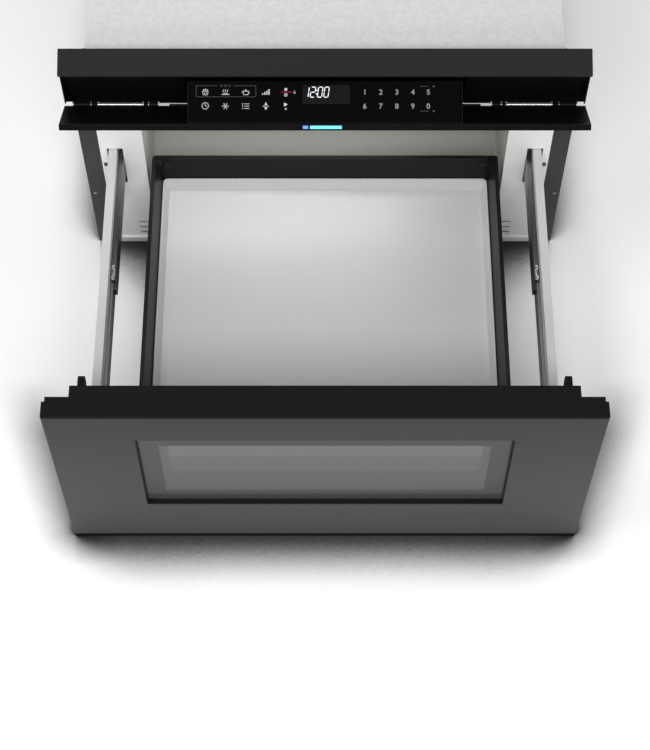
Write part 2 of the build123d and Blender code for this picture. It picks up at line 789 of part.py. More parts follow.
lamp_reach = 30.0           # bracket out from the cavity wall
lamp_half = 32.0
lamp_sheet = 2.0
lamp_below = 24.0           # bracket under the bulb's middle
lamp_fold = 6.0
socket_radius = 9.0
socket_height = 10.0
neck_radius = 6.0
bulb_radius = 8.5

with BuildPart() as oven_lamp:
    bracket_z = lamp_z - lamp_below
    block(-cavity_outside - lamp_sheet, -cavity_outside, lamp_y - lamp_half, lamp_y + lamp_half, bracket_z,
          bracket_z + lamp_fold)
    block(-cavity_outside - lamp_reach, -cavity_outside, lamp_y - lamp_half, lamp_y + lamp_half, bracket_z,
          bracket_z + lamp_sheet)
    with Locations((-cavity_outside - lamp_reach / 2, lamp_y, bracket_z + lamp_sheet)):
        Cylinder(socket_radius, socket_height, align=standing)
        Cylinder(neck_radius, lamp_below - lamp_sheet, align=standing)
    with Locations((-cavity_outside - lamp_reach / 2, lamp_y, lamp_z)):
        Sphere(bulb_radius)
oven_lamp.part.label = "oven_lamp"
export_step(oven_lamp.part, "parts/oven_lamp.step")

# ======== Telescopic slides and their supports ========

inner_depth = 2.8
middle_depth = 3.8
outer_depth = 4.8
inner_web = arm_inner - slide_sheet
middle_web = inner_web - inner_depth - slide_web_gap - slide_sheet
outer_web = middle_web - slide_web_gap - slide_sheet
slide_end = front + slide_start + slide_length
ball_seat = 0.15            # how deep a ball sits in its own member
ball_inset = 12.0           # first and last ball, from the ends of the overlap
stop_length = 8.0
stop_height = 14.0
stop_clearance = 0.8        # to the inner member
support_fold = 10.0         # folds that fix the supports to the cavity
middle_front = front + shut_inset - travel / 2
inner_front = front + shut_inset - travel


def channel(sign, web, depth, height, toward_arm, y0, y1):
    """Sheet channel along Y: a web with a flange at its top and bottom."""
    x0, x1 = sided(sign, web, web + slide_sheet)
    block(x0, x1, y0, y1, slide_z - height / 2, slide_z + height / 2)
    if toward_arm:
        x0, x1 = sided(sign, web, web + slide_sheet + depth)
    else:
        x0, x1 = sided(sign, web - depth, web + slide_sheet)
    for z0 in (slide_z - height / 2, slide_z + height / 2 - slide_sheet):
        block(x0, x1, y0, y1, z0, z0 + slide_sheet)


def ball_rows(sign, x, height, outer_member_height, y0, y1):
    """Balls that run between a member's flanges and the next member, evenly spaced from y0 to y1."""
    gap = (outer_member_height - 2 * slide_sheet - height) / 2
    radius = (gap - ball_gap + ball_seat) / 2
    for up in (-1, 1):
        for step in range(ball_count):
            y = y0 + (y1 - y0) * step / (ball_count - 1)
            with Locations((sign * x, y, slide_z + up * (height / 2 - ball_seat + radius))):
                Sphere(radius)


with BuildPart() as rail_supports:
    for _, sign in sides:
        x0, x1 = sided(sign, outer_web - slide_sheet, outer_web)
        high = slide_z + outer_height / 2
        low = slide_z - outer_height / 2
        block(x0, x1, front + slide_start, slide_end, low, high)
        x0, x1 = sided(sign, cavity_outside, outer_web)
        block(x0, x1, front + slide_start, slide_end, high - slide_sheet, high)
        block(x0, x1, front + slide_start, slide_end, low, low + slide_sheet)
        x0, x1 = sided(sign, cavity_outside, cavity_outside + slide_sheet)
        block(x0, x1, front + slide_start, slide_end, high, high + support_fold)
        block(x0, x1, front + slide_start, slide_end, low - support_fold, low)
rail_supports.part.label = "rail_supports"
export_step(rail_supports.part, "parts/rail_supports.step")

with BuildPart() as slide_outers:
    for _, sign in sides:
        channel(sign, outer_web, outer_depth, outer_height, True, front + slide_start, slide_end)
slide_outers.part.label = "slide_outers"
export_step(slide_outers.part, "parts/slide_outers.step")

for side, sign in sides:
    with BuildPart() as slide_middle:
        channel(sign, middle_web, middle_depth, middle_height, True, middle_front,
                middle_front + slide_length)
        ball_x = (middle_web + outer_web + slide_sheet + outer_depth) / 2
        ball_rows(sign, ball_x, middle_height, outer_height, front + slide_start + ball_inset,
                  middle_front + slide_length - ball_inset)
        # stop at the front end
        stop_face = middle_web + slide_sheet + middle_depth - stop_clearance
        x0, x1 = sided(sign, middle_web + slide_sheet, stop_face)
        block(x0, x1, middle_front, middle_front + stop_length, slide_z - stop_height / 2,
              slide_z + stop_height / 2)
    slide_middle.part.label = f"slide_middle_{side}"
    export_step(slide_middle.part, f"parts/slide_middle_{side}.step")

    with BuildPart() as slide_inner:
        channel(sign, inner_web, inner_depth, inner_height, False, inner_front, inner_front + slide_length)
        ball_x = (inner_web - inner_depth + middle_web + slide_sheet + middle_depth) / 2
        ball_rows(sign, ball_x, inner_height, middle_height, middle_front + ball_inset,
                  inner_front + slide_length - ball_inset)
    slide_inner.part.label = f"slide_inner_{side}"
    export_step(slide_inner.part, f"parts/slide_inner_{side}.step")

    with BuildPart() as arm:
        arm_back = front + arm_behind
        x0, x1 = sided(sign, arm_inner, arm_outer)
        block(x0, x1, door_back, arm_back, arm_bottom, arm_top)
        x0, x1 = sided(sign, arm_inner + arm_sheet, arm_outer)
        block(x0, x1, door_back + door_sheet, arm_back, arm_bottom + arm_sheet, arm_top - arm_sheet,
              mode=Mode.SUBTRACT)
    arm.part.label = f"arm_{side}"
    export_step(arm.part, f"parts/arm_{side}.step")

# ======== Rack drive ========

addendum = 0.75             # stub teeth, in modules
dedendum = 0.95
rack_root_z = arm_bottom - rack_back
rack_pitch_z = rack_root_z - dedendum * rack_module
pinion_radius = pinion_teeth * rack_module / 2
drive_y = front + drive_behind
drive_z = rack_pitch_z - pinion_radius
motor_y = drive_y + (wheel_teeth + motor_teeth) * wheel_module / 2
rack_margin = 20.0
arm_middle = arm_inner + arm_width / 2
cheek_sheet = 2.0
cheek_inner = 235.0
cheek_outer = 267.0
cheek_below = 25.0          # cheeks under the shafts
cheek_above = 8.0
cheek_half = 14.0           # outer cheek in front of and behind the pinion shaft
motor_cheek_above = 14.0
motor_cheek_behind = 18.0   # inner cheek behind the motor shaft
foot_width = 16.0
motor_can_radius = 14.0
motor_can_gap = 0.5         # to the cavity wall
gear_side_gap = 0.5         # a gear's face beyond the one it drives, each side
motor_shaft_seat = 6.0      # in the motor
wheel_x = cheek_inner + cheek_sheet + 3 * gear_side_gap


def gear(module, teeth, first_tooth):
    """Involute gear outline about the sketch's origin, with a tooth at the angle first_tooth."""
    pitch_radius = module * teeth / 2
    base_radius = pitch_radius * cos(radians(pressure_angle))
    root_radius = pitch_radius - dedendum * module
    tip_radius = pitch_radius + addendum * module
    start_radius = max(base_radius, root_radius)

    def half_angle(radius):
        """Half the tooth's angle at a radius, along the involute."""
        lean = acos(min(1.0, base_radius / radius))
        at_pitch = pi / (2 * teeth) - tooth_play / pitch_radius
        return at_pitch + tan(radians(pressure_angle)) - radians(pressure_angle) - (tan(lean) - lean)

    flank = [start_radius + (tip_radius - start_radius) * step / 3 for step in range(4)]
    points = []
    for tooth in range(teeth):
        middle = radians(first_tooth) + 2 * pi * tooth / teeth
        rising = [(r, middle - half_angle(r)) for r in flank]
        falling = [(r, middle + half_angle(r)) for r in reversed(flank)]
        if root_radius < base_radius:
            rising.insert(0, (root_radius, middle - half_angle(start_radius)))
            falling.append((root_radius, middle + half_angle(start_radius)))
        points += [(r * cos(a), r * sin(a)) for r, a in rising + falling]
    with BuildSketch() as outline:
        with BuildLine():
            Polyline(*points, close=True)
        make_face()
    return outline.sketch


with BuildPart() as drive_rack:
    pitch = pi * rack_module
    half_tooth = pitch / 4 - tooth_play
    lean = tan(radians(pressure_angle)) * rack_module
    start = drive_y - travel - rack_margin
    stop = drive_y + rack_margin
    tip_z = rack_pitch_z - addendum * rack_module
    points = [(start, arm_bottom), (start, rack_root_z)]
    first = ceil((start - drive_y) / pitch) + 0.5
    last = floor((stop - drive_y) / pitch) - 0.5
    for tooth in range(int(last - first) + 1):
        middle = drive_y + (first + tooth) * pitch
        root_half = half_tooth + dedendum * lean
        tip_half = half_tooth - addendum * lean
        points += [
            (middle - root_half, rack_root_z),
            (middle - tip_half, tip_z),
            (middle + tip_half, tip_z),
            (middle + root_half, rack_root_z),
        ]
    points += [(stop, rack_root_z), (stop, arm_bottom)]
    with BuildSketch(Plane.YZ.offset(arm_middle - rack_width / 2)):
        with BuildLine():
            Polyline(*points, close=True)
        make_face()
    extrude(amount=rack_width)
drive_rack.part.label = "drive_rack"
export_step(drive_rack.part, "parts/drive_rack.step")

with BuildPart() as drive_pinion:
    with BuildSketch(Plane.YZ.offset(arm_middle - rack_width / 2 - gear_side_gap)):
        with Locations((drive_y, drive_z)):
            add(gear(rack_module, pinion_teeth, 90))
    extrude(amount=rack_width + 2 * gear_side_gap)
    with BuildSketch(Plane.YZ.offset(wheel_x)):
        with Locations((drive_y, drive_z)):
            add(gear(wheel_module, wheel_teeth, 0))
    extrude(amount=wheel_thickness)
    with BuildSketch(Plane.YZ.offset(cheek_inner)):
        with Locations((drive_y, drive_z)):
            Circle(shaft_radius)
    extrude(amount=cheek_outer + cheek_sheet - cheek_inner)
drive_pinion.part.label = "drive_pinion"
export_step(drive_pinion.part, "parts/drive_pinion.step")

with BuildPart() as motor_gear:
    with BuildSketch(Plane.YZ.offset(wheel_x - gear_side_gap)):
        with Locations((motor_y, drive_z)):
            add(gear(wheel_module, motor_teeth, 180 + 180 / motor_teeth))
    extrude(amount=wheel_thickness + 2 * gear_side_gap)
    with BuildSketch(Plane.YZ.offset(cheek_inner - motor_shaft_seat)):
        with Locations((motor_y, drive_z)):
            Circle(motor_shaft_radius)
    extrude(amount=motor_shaft_seat + wheel_x - gear_side_gap - cheek_inner)
motor_gear.part.label = "motor_gear"
export_step(motor_gear.part, "parts/motor_gear.step")

with BuildPart() as drive_unit:
    cheek_low = drive_z - cheek_below
    near, far = drive_y - cheek_half, drive_y + cheek_half
    block(cheek_inner, cheek_inner + cheek_sheet, front + front_sheet, motor_y + motor_cheek_behind,
          cheek_low, drive_z + motor_cheek_above)
    block(cheek_outer, cheek_outer + cheek_sheet, near, far, cheek_low, drive_z + cheek_above)
    block(cheek_inner, cheek_outer + cheek_sheet, near, far, cheek_low, cheek_low + cheek_sheet)
    block(cheek_inner, cheek_inner + foot_width, front + front_sheet, front + 2 * front_sheet, cheek_low,
          cheek_low + foot_width)
    with BuildSketch(Plane.YZ.offset(cavity_outside + motor_can_gap)):
        with Locations((motor_y, drive_z)):
            Circle(motor_can_radius)
    extrude(amount=cheek_inner - cavity_outside - motor_can_gap)
    # bores of both shafts
    with BuildSketch(Plane.YZ.offset(cheek_inner - motor_shaft_seat - 1)):
        with Locations((motor_y, drive_z)):
            Circle(motor_shaft_radius + running_fit)
        with Locations((drive_y, drive_z)):
            Circle(shaft_radius + running_fit)
    extrude(amount=cheek_outer + sheet_cut - cheek_inner + motor_shaft_seat, mode=Mode.SUBTRACT)
drive_unit.part.label = "drive_unit"
export_step(drive_unit.part, "parts/drive_unit.step")

# ======== Door interlocks ========

hook_x = hook_inner + hook_thickness / 2
hook_play = 0.4             # between the shut hook and its plunger
plunger_radius = 2.0
plunger_length = 18.0
plunger_travel = 2.5
plunger_head = 1.2          # head's edge beyond the plunger
plunger_head_height = 1.4
plunger_round = 0.5
plunger_front = front - door_gap + hook_reach + hook_play
switch_gap = 2.0            # between the pressed plunger's head and the switch
switch_half_width = 7.0
switch_half_height = 11.0
switch_depth = 24.0
bracket_half_height = 14.0
switch_front = plunger_front + plunger_travel + switch_gap

with BuildPart() as interlock_switches:
    for _, sign in sides:
        x0, x1 = sided(sign, hook_x - switch_half_width, hook_x + switch_half_width)
        block(x0, x1, switch_front, switch_front + switch_depth, hook_z - switch_half_height,
              hook_z + switch_half_height)
        x0, x1 = sided(sign, hook_x + switch_half_width, pan_edge)
        block(x0, x1, front + front_sheet, switch_front + switch_depth, hook_z - bracket_half_height,
              hook_z + bracket_half_height)
        with BuildSketch(facing(switch_front - 1)):
            with Locations((sign * hook_x, hook_z)):
                Circle(plunger_radius + running_fit)
        extrude(amount=-(plunger_length + plunger_travel), mode=Mode.SUBTRACT)
interlock_switches.part.label = "interlock_switches"
export_step(interlock_switches.part, "parts/interlock_switches.step")

for side, sign in sides:
    with BuildPart() as plunger:
        with BuildSketch(facing(plunger_front)):
            with Locations((sign * hook_x, hook_z)):
                Circle(plunger_radius)
        extrude(amount=-plunger_length)
        with BuildSketch(facing(plunger_front)):
            with Locations((sign * hook_x, hook_z)):
                Circle(plunger_radius + plunger_head)
        extrude(amount=-plunger_head_height)
        fillet(plunger.edges().group_by(Axis.Y)[0], plunger_round)
    plunger.part.label = f"interlock_plunger_{side}"
    export_step(plunger.part, f"parts/interlock_plunger_{side}.step")

# ======== Tray ========

tray_radius = 4.0
tray_edge_round = 1.2
rim_thickness = 2.0
pan_front_gap = 6.0         # between the drawer front and the pan
pan_support = 18.0          # ledge under the pan's edge
pan_radius = 6.0
pan_edge_round = 0.8
foot = half_tray - wall_foot
head = half_tray - tray_rim
rim_under = tray_top - rim_thickness
wall_base = tray_base_top
pan_outer = foot - 2 * pan_gap
pan_front = door_back + pan_front_gap
pan_back = tray_back - wall_foot - 2 * pan_gap
post_inner = half_tray - tray_skin - post_width

with BuildPart() as tray_base:
    block(-half_tray, half_tray, door_back, tray_back, tray_base_bottom, tray_base_top)
    fillet(tray_base.edges().filter_by(Axis.Z).group_by(Axis.Y)[-1], tray_radius)
    pocket = pan_outer + pan_gap
    block(-pocket, pocket, pan_front - pan_gap, pan_back + pan_gap, tray_base_bottom + tray_ledge,
          tray_base_top, mode=Mode.SUBTRACT)
    block(-pocket + pan_support, pocket - pan_support, pan_front + pan_support, pan_back - pan_support,
          tray_base_bottom, tray_base_bottom + tray_ledge, mode=Mode.SUBTRACT)
tray_base.part.label = "tray_base"
export_step(tray_base.part, "parts/tray_base.step")

with BuildPart() as tray_frame:
    block(-half_tray, half_tray, door_back, tray_back, tray_top - tray_skirt, tray_top)
    fillet(tray_frame.edges().filter_by(Axis.Z).group_by(Axis.Y)[-1], tray_radius)
    fillet(tray_frame.edges().group_by(Axis.Z)[-1].group_by(Axis.Y)[1:], tray_edge_round)
    skirt = half_tray - tray_skin
    block(-skirt, skirt, door_back, tray_back - tray_skin, tray_top - tray_skirt, rim_under,
          mode=Mode.SUBTRACT)
    block(-head, head, door_back, tray_back - tray_rim, rim_under, tray_top, mode=Mode.SUBTRACT)
    for _, sign in sides:
        x0, x1 = sided(sign, post_inner, skirt)
        block(x0, x1, tray_back - tray_skin - post_width, tray_back - tray_skin, tray_base_top, rim_under)
        block(x0, x1, door_back, door_back + post_width, tray_base_top, rim_under)
tray_frame.part.label = "tray_frame"
export_step(tray_frame.part, "parts/tray_frame.step")

with BuildPart() as tray_walls:
    for _, sign in sides:
        with BuildSketch(facing(door_back + post_width)):
            with BuildLine():
                Polyline(
                    (sign * foot, wall_base),
                    (sign * (foot + wall_thickness), wall_base),
                    (sign * (head + wall_thickness), rim_under),
                    (sign * head, rim_under),
                    close=True,
                )
            make_face()
        extrude(amount=-(tray_back - tray_skin - 2 * post_width - door_back))
    wall_run = wall_foot - wall_thickness
    with BuildSketch(Plane.YZ.offset(-post_inner)):
        with BuildLine():
            Polyline(
                (tray_back - wall_foot, wall_base),
                (tray_back - wall_run, wall_base),
                (tray_back - tray_rim + wall_thickness, rim_under),
                (tray_back - tray_rim, rim_under),
                close=True,
            )
        make_face()
    extrude(amount=2 * post_inner)
tray_walls.part.label = "tray_walls"
export_step(tray_walls.part, "parts/tray_walls.step")

with BuildPart() as ceramic_tray:
    block(-pan_outer, pan_outer, pan_front, pan_back, tray_base_bottom + tray_ledge, tray_base_top)
    fillet(ceramic_tray.edges().filter_by(Axis.Z), pan_radius)
    pan_middle = (pan_front + pan_back) / 2
    for z, lean in ((tray_base_top, 0.0), (pan_floor_top, pan_slope)):
        with BuildSketch(Plane.XY.offset(z)):
            with Locations((0, pan_middle)):
                inset = pan_rim + lean
                RectangleRounded(2 * (pan_outer - inset), pan_back - pan_front - 2 * inset, pan_radius)
    loft(mode=Mode.SUBTRACT)
    fillet(ceramic_tray.edges().group_by(Axis.Z)[-1], pan_edge_round)
ceramic_tray.part.label = "ceramic_tray"
export_step(ceramic_tray.part, "parts/ceramic_tray.step")

# ======== Drawer front ========

panel_bottom = door_bottom + trim_height
panel_top = door_top - cap_height
panel_middle = (panel_bottom + panel_top) / 2
window_middle = (window_bottom + window_top) / 2
clear_middle = (clear_bottom + clear_top) / 2
frame_front = door_front + face_depth
choke_front = frame_front + frame_depth
glass_front = door_front + window_recess

with BuildPart() as front_panel:
    with BuildSketch(facing(door_front)):
        with Locations((0, panel_middle)):
            Rectangle(door_width, panel_top - panel_bottom)
    extrude(amount=-face_depth)
    fillet(front_panel.edges().filter_by(Axis.Z).group_by(Axis.Y)[0], door_edge_radius)
    with BuildSketch(facing(frame_front)):
        with Locations((0, panel_middle)):
            Rectangle(door_width - 2 * door_sheet, panel_top - panel_bottom - 2 * door_sheet)
    extrude(amount=face_depth - door_sheet, mode=Mode.SUBTRACT)
    # collar of the window recess
    with BuildSketch(facing(door_front)):
        with Locations((0, window_middle)):
            Rectangle(window_width + 2 * door_sheet, window_top - window_bottom + 2 * door_sheet)
    extrude(amount=-window_recess)
    with BuildSketch(facing(door_front)):
        with Locations((0, window_middle)):
            Rectangle(window_width, window_top - window_bottom)
    extrude(amount=-window_recess, mode=Mode.SUBTRACT)
front_panel.part.label = "front_panel"
export_step(front_panel.part, "parts/front_panel.step")

with BuildPart() as top_cap:
    with BuildSketch(Plane.XY.offset(panel_top)):
        with Locations((0, door_front + face_depth / 2)):
            Rectangle(door_width, face_depth)
        with Locations((0, frame_front + frame_depth / 2)):
            Rectangle(frame_width, frame_depth)
        with Locations((0, choke_front + choke_depth / 2)):
            Rectangle(choke_width, choke_depth)
    extrude(amount=cap_height)
    fillet(top_cap.edges().filter_by(Axis.Z).group_by(Axis.Y)[0], door_edge_radius)
    fillet(top_cap.edges().group_by(Axis.Z)[-1].group_by(Axis.Y)[0], cap_round)
top_cap.part.label = "top_cap"
export_step(top_cap.part, "parts/top_cap.step")

with BuildPart() as bottom_trim:
    with BuildSketch(Plane.XY.offset(door_bottom)):
        with Locations((0, (door_front + frame_front) / 2)):
            Rectangle(door_width - 2 * trim_step, face_depth - trim_step / 2)
    extrude(amount=trim_height)
    fillet(bottom_trim.edges().filter_by(Axis.Z).group_by(Axis.Y)[0], door_edge_radius)
bottom_trim.part.label = "bottom_trim"
export_step(bottom_trim.part, "parts/bottom_trim.step")

with BuildPart() as window_glass:
    with BuildSketch(facing(glass_front)):
        with Locations((0, window_middle)):
            Rectangle(window_width + 2 * window_lap, window_top - window_bottom + 2 * window_lap)
    extrude(amount=-glass_thickness)
window_glass.part.label = "window_glass"
export_step(window_glass.part, "parts/window_glass.step")

screen_front = glass_front + glass_thickness
screen_margin = 15.0

with BuildPart() as window_screen:
    screen_width = clear_width + 2 * screen_margin
    screen_height = clear_top - clear_bottom + 2 * screen_margin
    with BuildSketch(facing(screen_front)):
        with Locations((0, clear_middle)):
            Rectangle(screen_width, screen_height)
    extrude(amount=-(frame_front - screen_front))
    with BuildSketch(facing(frame_front)):
        with Locations((0, clear_middle)):
            Rectangle(screen_width - 2 * door_sheet, screen_height - 2 * door_sheet)
    extrude(amount=frame_front - screen_front - screen_thickness, mode=Mode.SUBTRACT)
window_screen.part.label = "window_screen"
export_step(window_screen.part, "parts/window_screen.step")

with BuildPart() as door_frame:
    with BuildSketch(facing(frame_front)):
        with Locations((0, panel_middle)):
            Rectangle(frame_width, panel_top - panel_bottom)
    extrude(amount=-frame_depth)
    with BuildSketch(facing(choke_front)):
        with Locations((0, panel_middle)):
            Rectangle(frame_width - 2 * door_sheet, panel_top - panel_bottom - 2 * door_sheet)
    extrude(amount=frame_depth - door_sheet, mode=Mode.SUBTRACT)
    with BuildSketch(facing(frame_front)):
        with Locations((0, clear_middle)):
            Rectangle(clear_width, clear_top - clear_bottom)
    extrude(amount=-frame_depth, mode=Mode.SUBTRACT)
door_frame.part.label = "door_frame"
export_step(door_frame.part, "parts/door_frame.step")

choke_round = 1.0
inner_glass_lap = 8.0

with BuildPart() as choke_frame:
    with BuildSketch(facing(choke_front)):
        with Locations((0, (choke_bottom + panel_top) / 2)):
            Rectangle(choke_width, panel_top - choke_bottom)
    extrude(amount=-choke_depth)
    with BuildSketch(facing(choke_front)):
        with Locations((0, (choke_bottom + panel_top) / 2)):
            Rectangle(choke_width - 2 * choke_wall, panel_top - choke_bottom - 2 * choke_wall)
    extrude(amount=-(choke_depth - choke_wall), mode=Mode.SUBTRACT)
    with BuildSketch(facing(choke_front)):
        with Locations((0, clear_middle)):
            Rectangle(clear_width, clear_top - clear_bottom)
    extrude(amount=-choke_depth, mode=Mode.SUBTRACT)
    fillet(choke_frame.edges().filter_by(Axis.Z).group_by(Axis.Y)[-1], choke_round)
choke_frame.part.label = "choke_frame"
export_step(choke_frame.part, "parts/choke_frame.step")

with BuildPart() as inner_glass:
    with BuildSketch(facing(door_back - choke_wall)):
        with Locations((0, clear_middle)):
            Rectangle(clear_width + 2 * inner_glass_lap, clear_top - clear_bottom + 2 * inner_glass_lap)
    extrude(amount=glass_thickness)
inner_glass.part.label = "inner_glass"
export_step(inner_glass.part, "parts/inner_glass.step")

hook_eye_behind = 10.0      # opening in the hook, behind the choke frame
hook_eye_depth = 6.0
hook_eye_height = 8.0

with BuildPart() as latch_hooks:
    for _, sign in sides:
        x0, x1 = sided(sign, hook_inner, hook_inner + hook_thickness)
        block(x0, x1, door_back, door_back + hook_reach, hook_z - hook_height / 2, hook_z + hook_height / 2)
    fillet(latch_hooks.edges().filter_by(Axis.X).group_by(Axis.Y)[-1], hook_round)
    for _, sign in sides:
        with Locations((sign * hook_x, door_back + hook_eye_behind, hook_z)):
            Box(hook_thickness, hook_eye_depth, hook_eye_height, mode=Mode.SUBTRACT)
latch_hooks.part.label = "latch_hooks"
export_step(latch_hooks.part, "parts/latch_hooks.step")

wall_lean = degrees(acos((rim_under - wall_base)
                         / sqrt((rim_under - wall_base) ** 2 + (wall_foot - tray_rim) ** 2)))
tray_screw_x = half_tray - 19.0
tray_screw_z = tray_top - 9.0
tray_screw_radius = 3.0
tray_screw_height = 1.4
arm_screw_front = 46.0      # from the drawer front
arm_screw_rear = 60.0       # in front of the flange plane
arm_screw_inset = 10.0      # from the arm's edges
arm_screw_height = 1.8
arm_screws = [
    (y, z)
    for y in (door_back + arm_screw_front, front - arm_screw_rear)
    for z in (arm_bottom + arm_screw_inset, arm_top - arm_screw_inset)
]

with BuildPart() as drawer_screws:
    # two in the tray's rear wall
    screw_y = tray_back - wall_foot + (tray_screw_z - wall_base) * tan(radians(wall_lean))
    wall_face = Plane(
        origin=(0, screw_y, tray_screw_z),
        x_dir=(1, 0, 0),
        z_dir=(0, -cos(radians(wall_lean)), sin(radians(wall_lean))),
    )
    with BuildSketch(wall_face):
        with Locations((-tray_screw_x, 0), (tray_screw_x, 0)):
            Circle(tray_screw_radius)
    extrude(amount=tray_screw_height)
    # four in each arm, heads inside the arm's channel
    for _, sign in sides:
        with BuildSketch(Plane.YZ.offset(sign * (arm_inner + arm_sheet))):
            with Locations(*arm_screws):
                Circle(screw_head_radius)
        extrude(amount=sign * arm_screw_height)
drawer_screws.part.label = "drawer_screws"
export_step(drawer_screws.part, "parts/drawer_screws.step")

# ======== Control panel and its housing ========

lip = (hinge_y - flap_length * cos(tilt), hinge_z + flap_length * sin(tilt))
flap_plane = Plane(origin=(0, hinge_y, hinge_z), x_dir=(0, -cos(tilt), sin(tilt)), z_dir=(-1, 0, 0))
flap_face = Plane(origin=(0, hinge_y, hinge_z), x_dir=(1, 0, 0), z_dir=(0, sin(tilt), cos(tilt)))
glass_face = Plane(
    origin=(0, lip[0], lip[1]), x_dir=(1, 0, 0), z_dir=(0, -sin(glass_tilt), cos(glass_tilt))
)
wedge = tilt + glass_tilt
along = (-cos(wedge), sin(wedge))       # up the glass, in the flap's plane
outward = (sin(wedge), cos(wedge))      # out of the glass, in the flap's plane
console_half = panel_glass_width / 2 + console_margin


def on_wedge(up, out):
    """Point in the flap's plane, from its distance up the glass and out of it."""
    return (
        flap_length + up * along[0] + out * outward[0],
        up * along[1] + out * outward[1],
    )


housing_front = hinge_y + housing_gap
slit_edge = hinge_y + knuckle_radius
housing_inside = half_door - housing_sheet

with BuildPart() as control_housing:
    block(-half_door, half_door, housing_front, front, housing_floor, housing_top)
    block(-pocket_half - housing_sheet, pocket_half + housing_sheet, front,
          front + pocket_behind + housing_sheet, housing_floor, pocket_top + housing_sheet)
    block(-housing_inside, housing_inside, housing_front, front - housing_sheet,
          housing_floor + housing_sheet, housing_top - housing_sheet, mode=Mode.SUBTRACT)
    block(-pocket_half, pocket_half, housing_front, front + pocket_behind,
          housing_floor + housing_sheet, pocket_top, mode=Mode.SUBTRACT)
    block(-housing_inside, housing_inside, housing_front, slit_edge,
          housing_floor, housing_floor + housing_sheet, mode=Mode.SUBTRACT)
    # knuckles that hold the hinge pins
    for _, sign in sides:
        for inner, outer in (inner_knuckle, outer_knuckle):
            x0, x1 = sided(sign, inner, outer)
            with BuildSketch(Plane.YZ.offset(x0)):
                with Locations((hinge_y, hinge_z)):
                    Circle(knuckle_radius)
                with Locations((hinge_y + knuckle_radius, hinge_z + knuckle_radius / 2)):
                    Rectangle(2 * knuckle_radius, knuckle_radius)
                with Locations((hinge_y, hinge_z)):
                    Circle(hinge_pin_radius + running_fit, mode=Mode.SUBTRACT)
            extrude(amount=x1 - x0)
control_housing.part.label = "control_housing"
export_step(control_housing.part, "parts/control_housing.step")

with BuildPart() as hinge_pins:
    for _, sign in sides:
        x0, x1 = sided(sign, pin_inner, pin_outer)
        with BuildSketch(Plane.YZ.offset(x0)):
            with Locations((hinge_y, hinge_z)):
                Circle(hinge_pin_radius)
        extrude(amount=x1 - x0)
hinge_pins.part.label = "hinge_pins"
export_step(hinge_pins.part, "parts/hinge_pins.step")

trim_front = front - trim_before
trim_shoulder = housing_top + trim_front_height

trim_round = 1.0

with BuildPart() as top_trim:
    with BuildSketch(Plane.YZ.offset(-half_door)):
        with BuildLine():
            Polyline(
                (trim_front, housing_top),
                (trim_front, trim_shoulder),
                (front, trim_top),
                (front, housing_top),
                close=True,
            )
        make_face()
    extrude(amount=door_width)
    fillet(top_trim.edges().filter_by(Axis.X).group_by(Axis.Y)[0].sort_by(Axis.Z)[-1], trim_round)
    with BuildSketch(Plane.YZ.offset(-housing_inside)):
        with BuildLine():
            Polyline(
                (trim_front + housing_sheet, housing_top),
                (trim_front + housing_sheet, trim_shoulder - housing_sheet),
                (front - housing_sheet, trim_top - 2 * housing_sheet),
                (front - housing_sheet, housing_top),
                close=True,
            )
        make_face()
    extrude(amount=door_width - 2 * housing_sheet, mode=Mode.SUBTRACT)
top_trim.part.label = "top_trim"
export_step(top_trim.part, "parts/top_trim.step")

lip_radius = 1.0
lens_depth = 2.0
lens_height = 3.8
lens_below = 2.8            # middle of a lens under the flap's inner face
bar_start, bar_end = -17.0, 19.0
status_start, status_end = -25.2, -19.2
lens_fit = 0.1

with BuildPart() as control_flap:
    with BuildSketch(flap_plane.offset(-half_door)):
        with Locations(((flap_start + flap_length) / 2, -flap_thickness / 2)):
            Rectangle(flap_length - flap_start, flap_thickness)
    extrude(amount=door_width)
    lip_edges = control_flap.edges().filter_by(Axis.X).sort_by(Axis.Y)[0:2]
    fillet(lip_edges, lip_radius)
    for _, sign in sides:
        for inner, outer in (inner_ear, outer_ear):
            x0, x1 = sided(sign, inner, outer)
            with BuildSketch(flap_plane.offset(-x1)):
                Circle(knuckle_radius)
                with Locations(((flap_start + lip_radius) / 2, -knuckle_radius / 2)):
                    Rectangle(flap_start + lip_radius, knuckle_radius)
                Circle(hinge_pin_radius + running_fit, mode=Mode.SUBTRACT)
            extrude(amount=x1 - x0)
    # recesses for the status lens and the light bar in the free edge
    for x0, x1 in ((bar_start, bar_end), (status_start, status_end)):
        with BuildSketch(flap_plane.offset(-x1 - lens_fit)):
            with Locations((flap_length, -lens_below)):
                Rectangle(2 * (lens_depth + lens_fit), lens_height + 2 * lens_fit)
        extrude(amount=x1 - x0 + 2 * lens_fit, mode=Mode.SUBTRACT)
control_flap.part.label = "control_flap"
export_step(control_flap.part, "parts/control_flap.step")

with BuildPart() as indicator_lenses:
    for x0, x1 in ((bar_start, bar_end), (status_start, status_end)):
        with BuildSketch(flap_plane.offset(-x1)):
            with Locations((flap_length - lens_depth / 2, -lens_below)):
                Rectangle(lens_depth, lens_height)
        extrude(amount=x1 - x0)
indicator_lenses.part.label = "indicator_lenses"
export_step(indicator_lenses.part, "parts/indicator_lenses.step")

glass_top = on_wedge(panel_glass_length, -panel_glass_thickness)
glass_low_up = panel_glass_thickness / tan(wedge)
glass_low = on_wedge(glass_low_up, -panel_glass_thickness)
console_back = (flap_start + 18.0, glass_top[1] - console_wall)
console_heel = (flap_start + 1.0, 14.0)

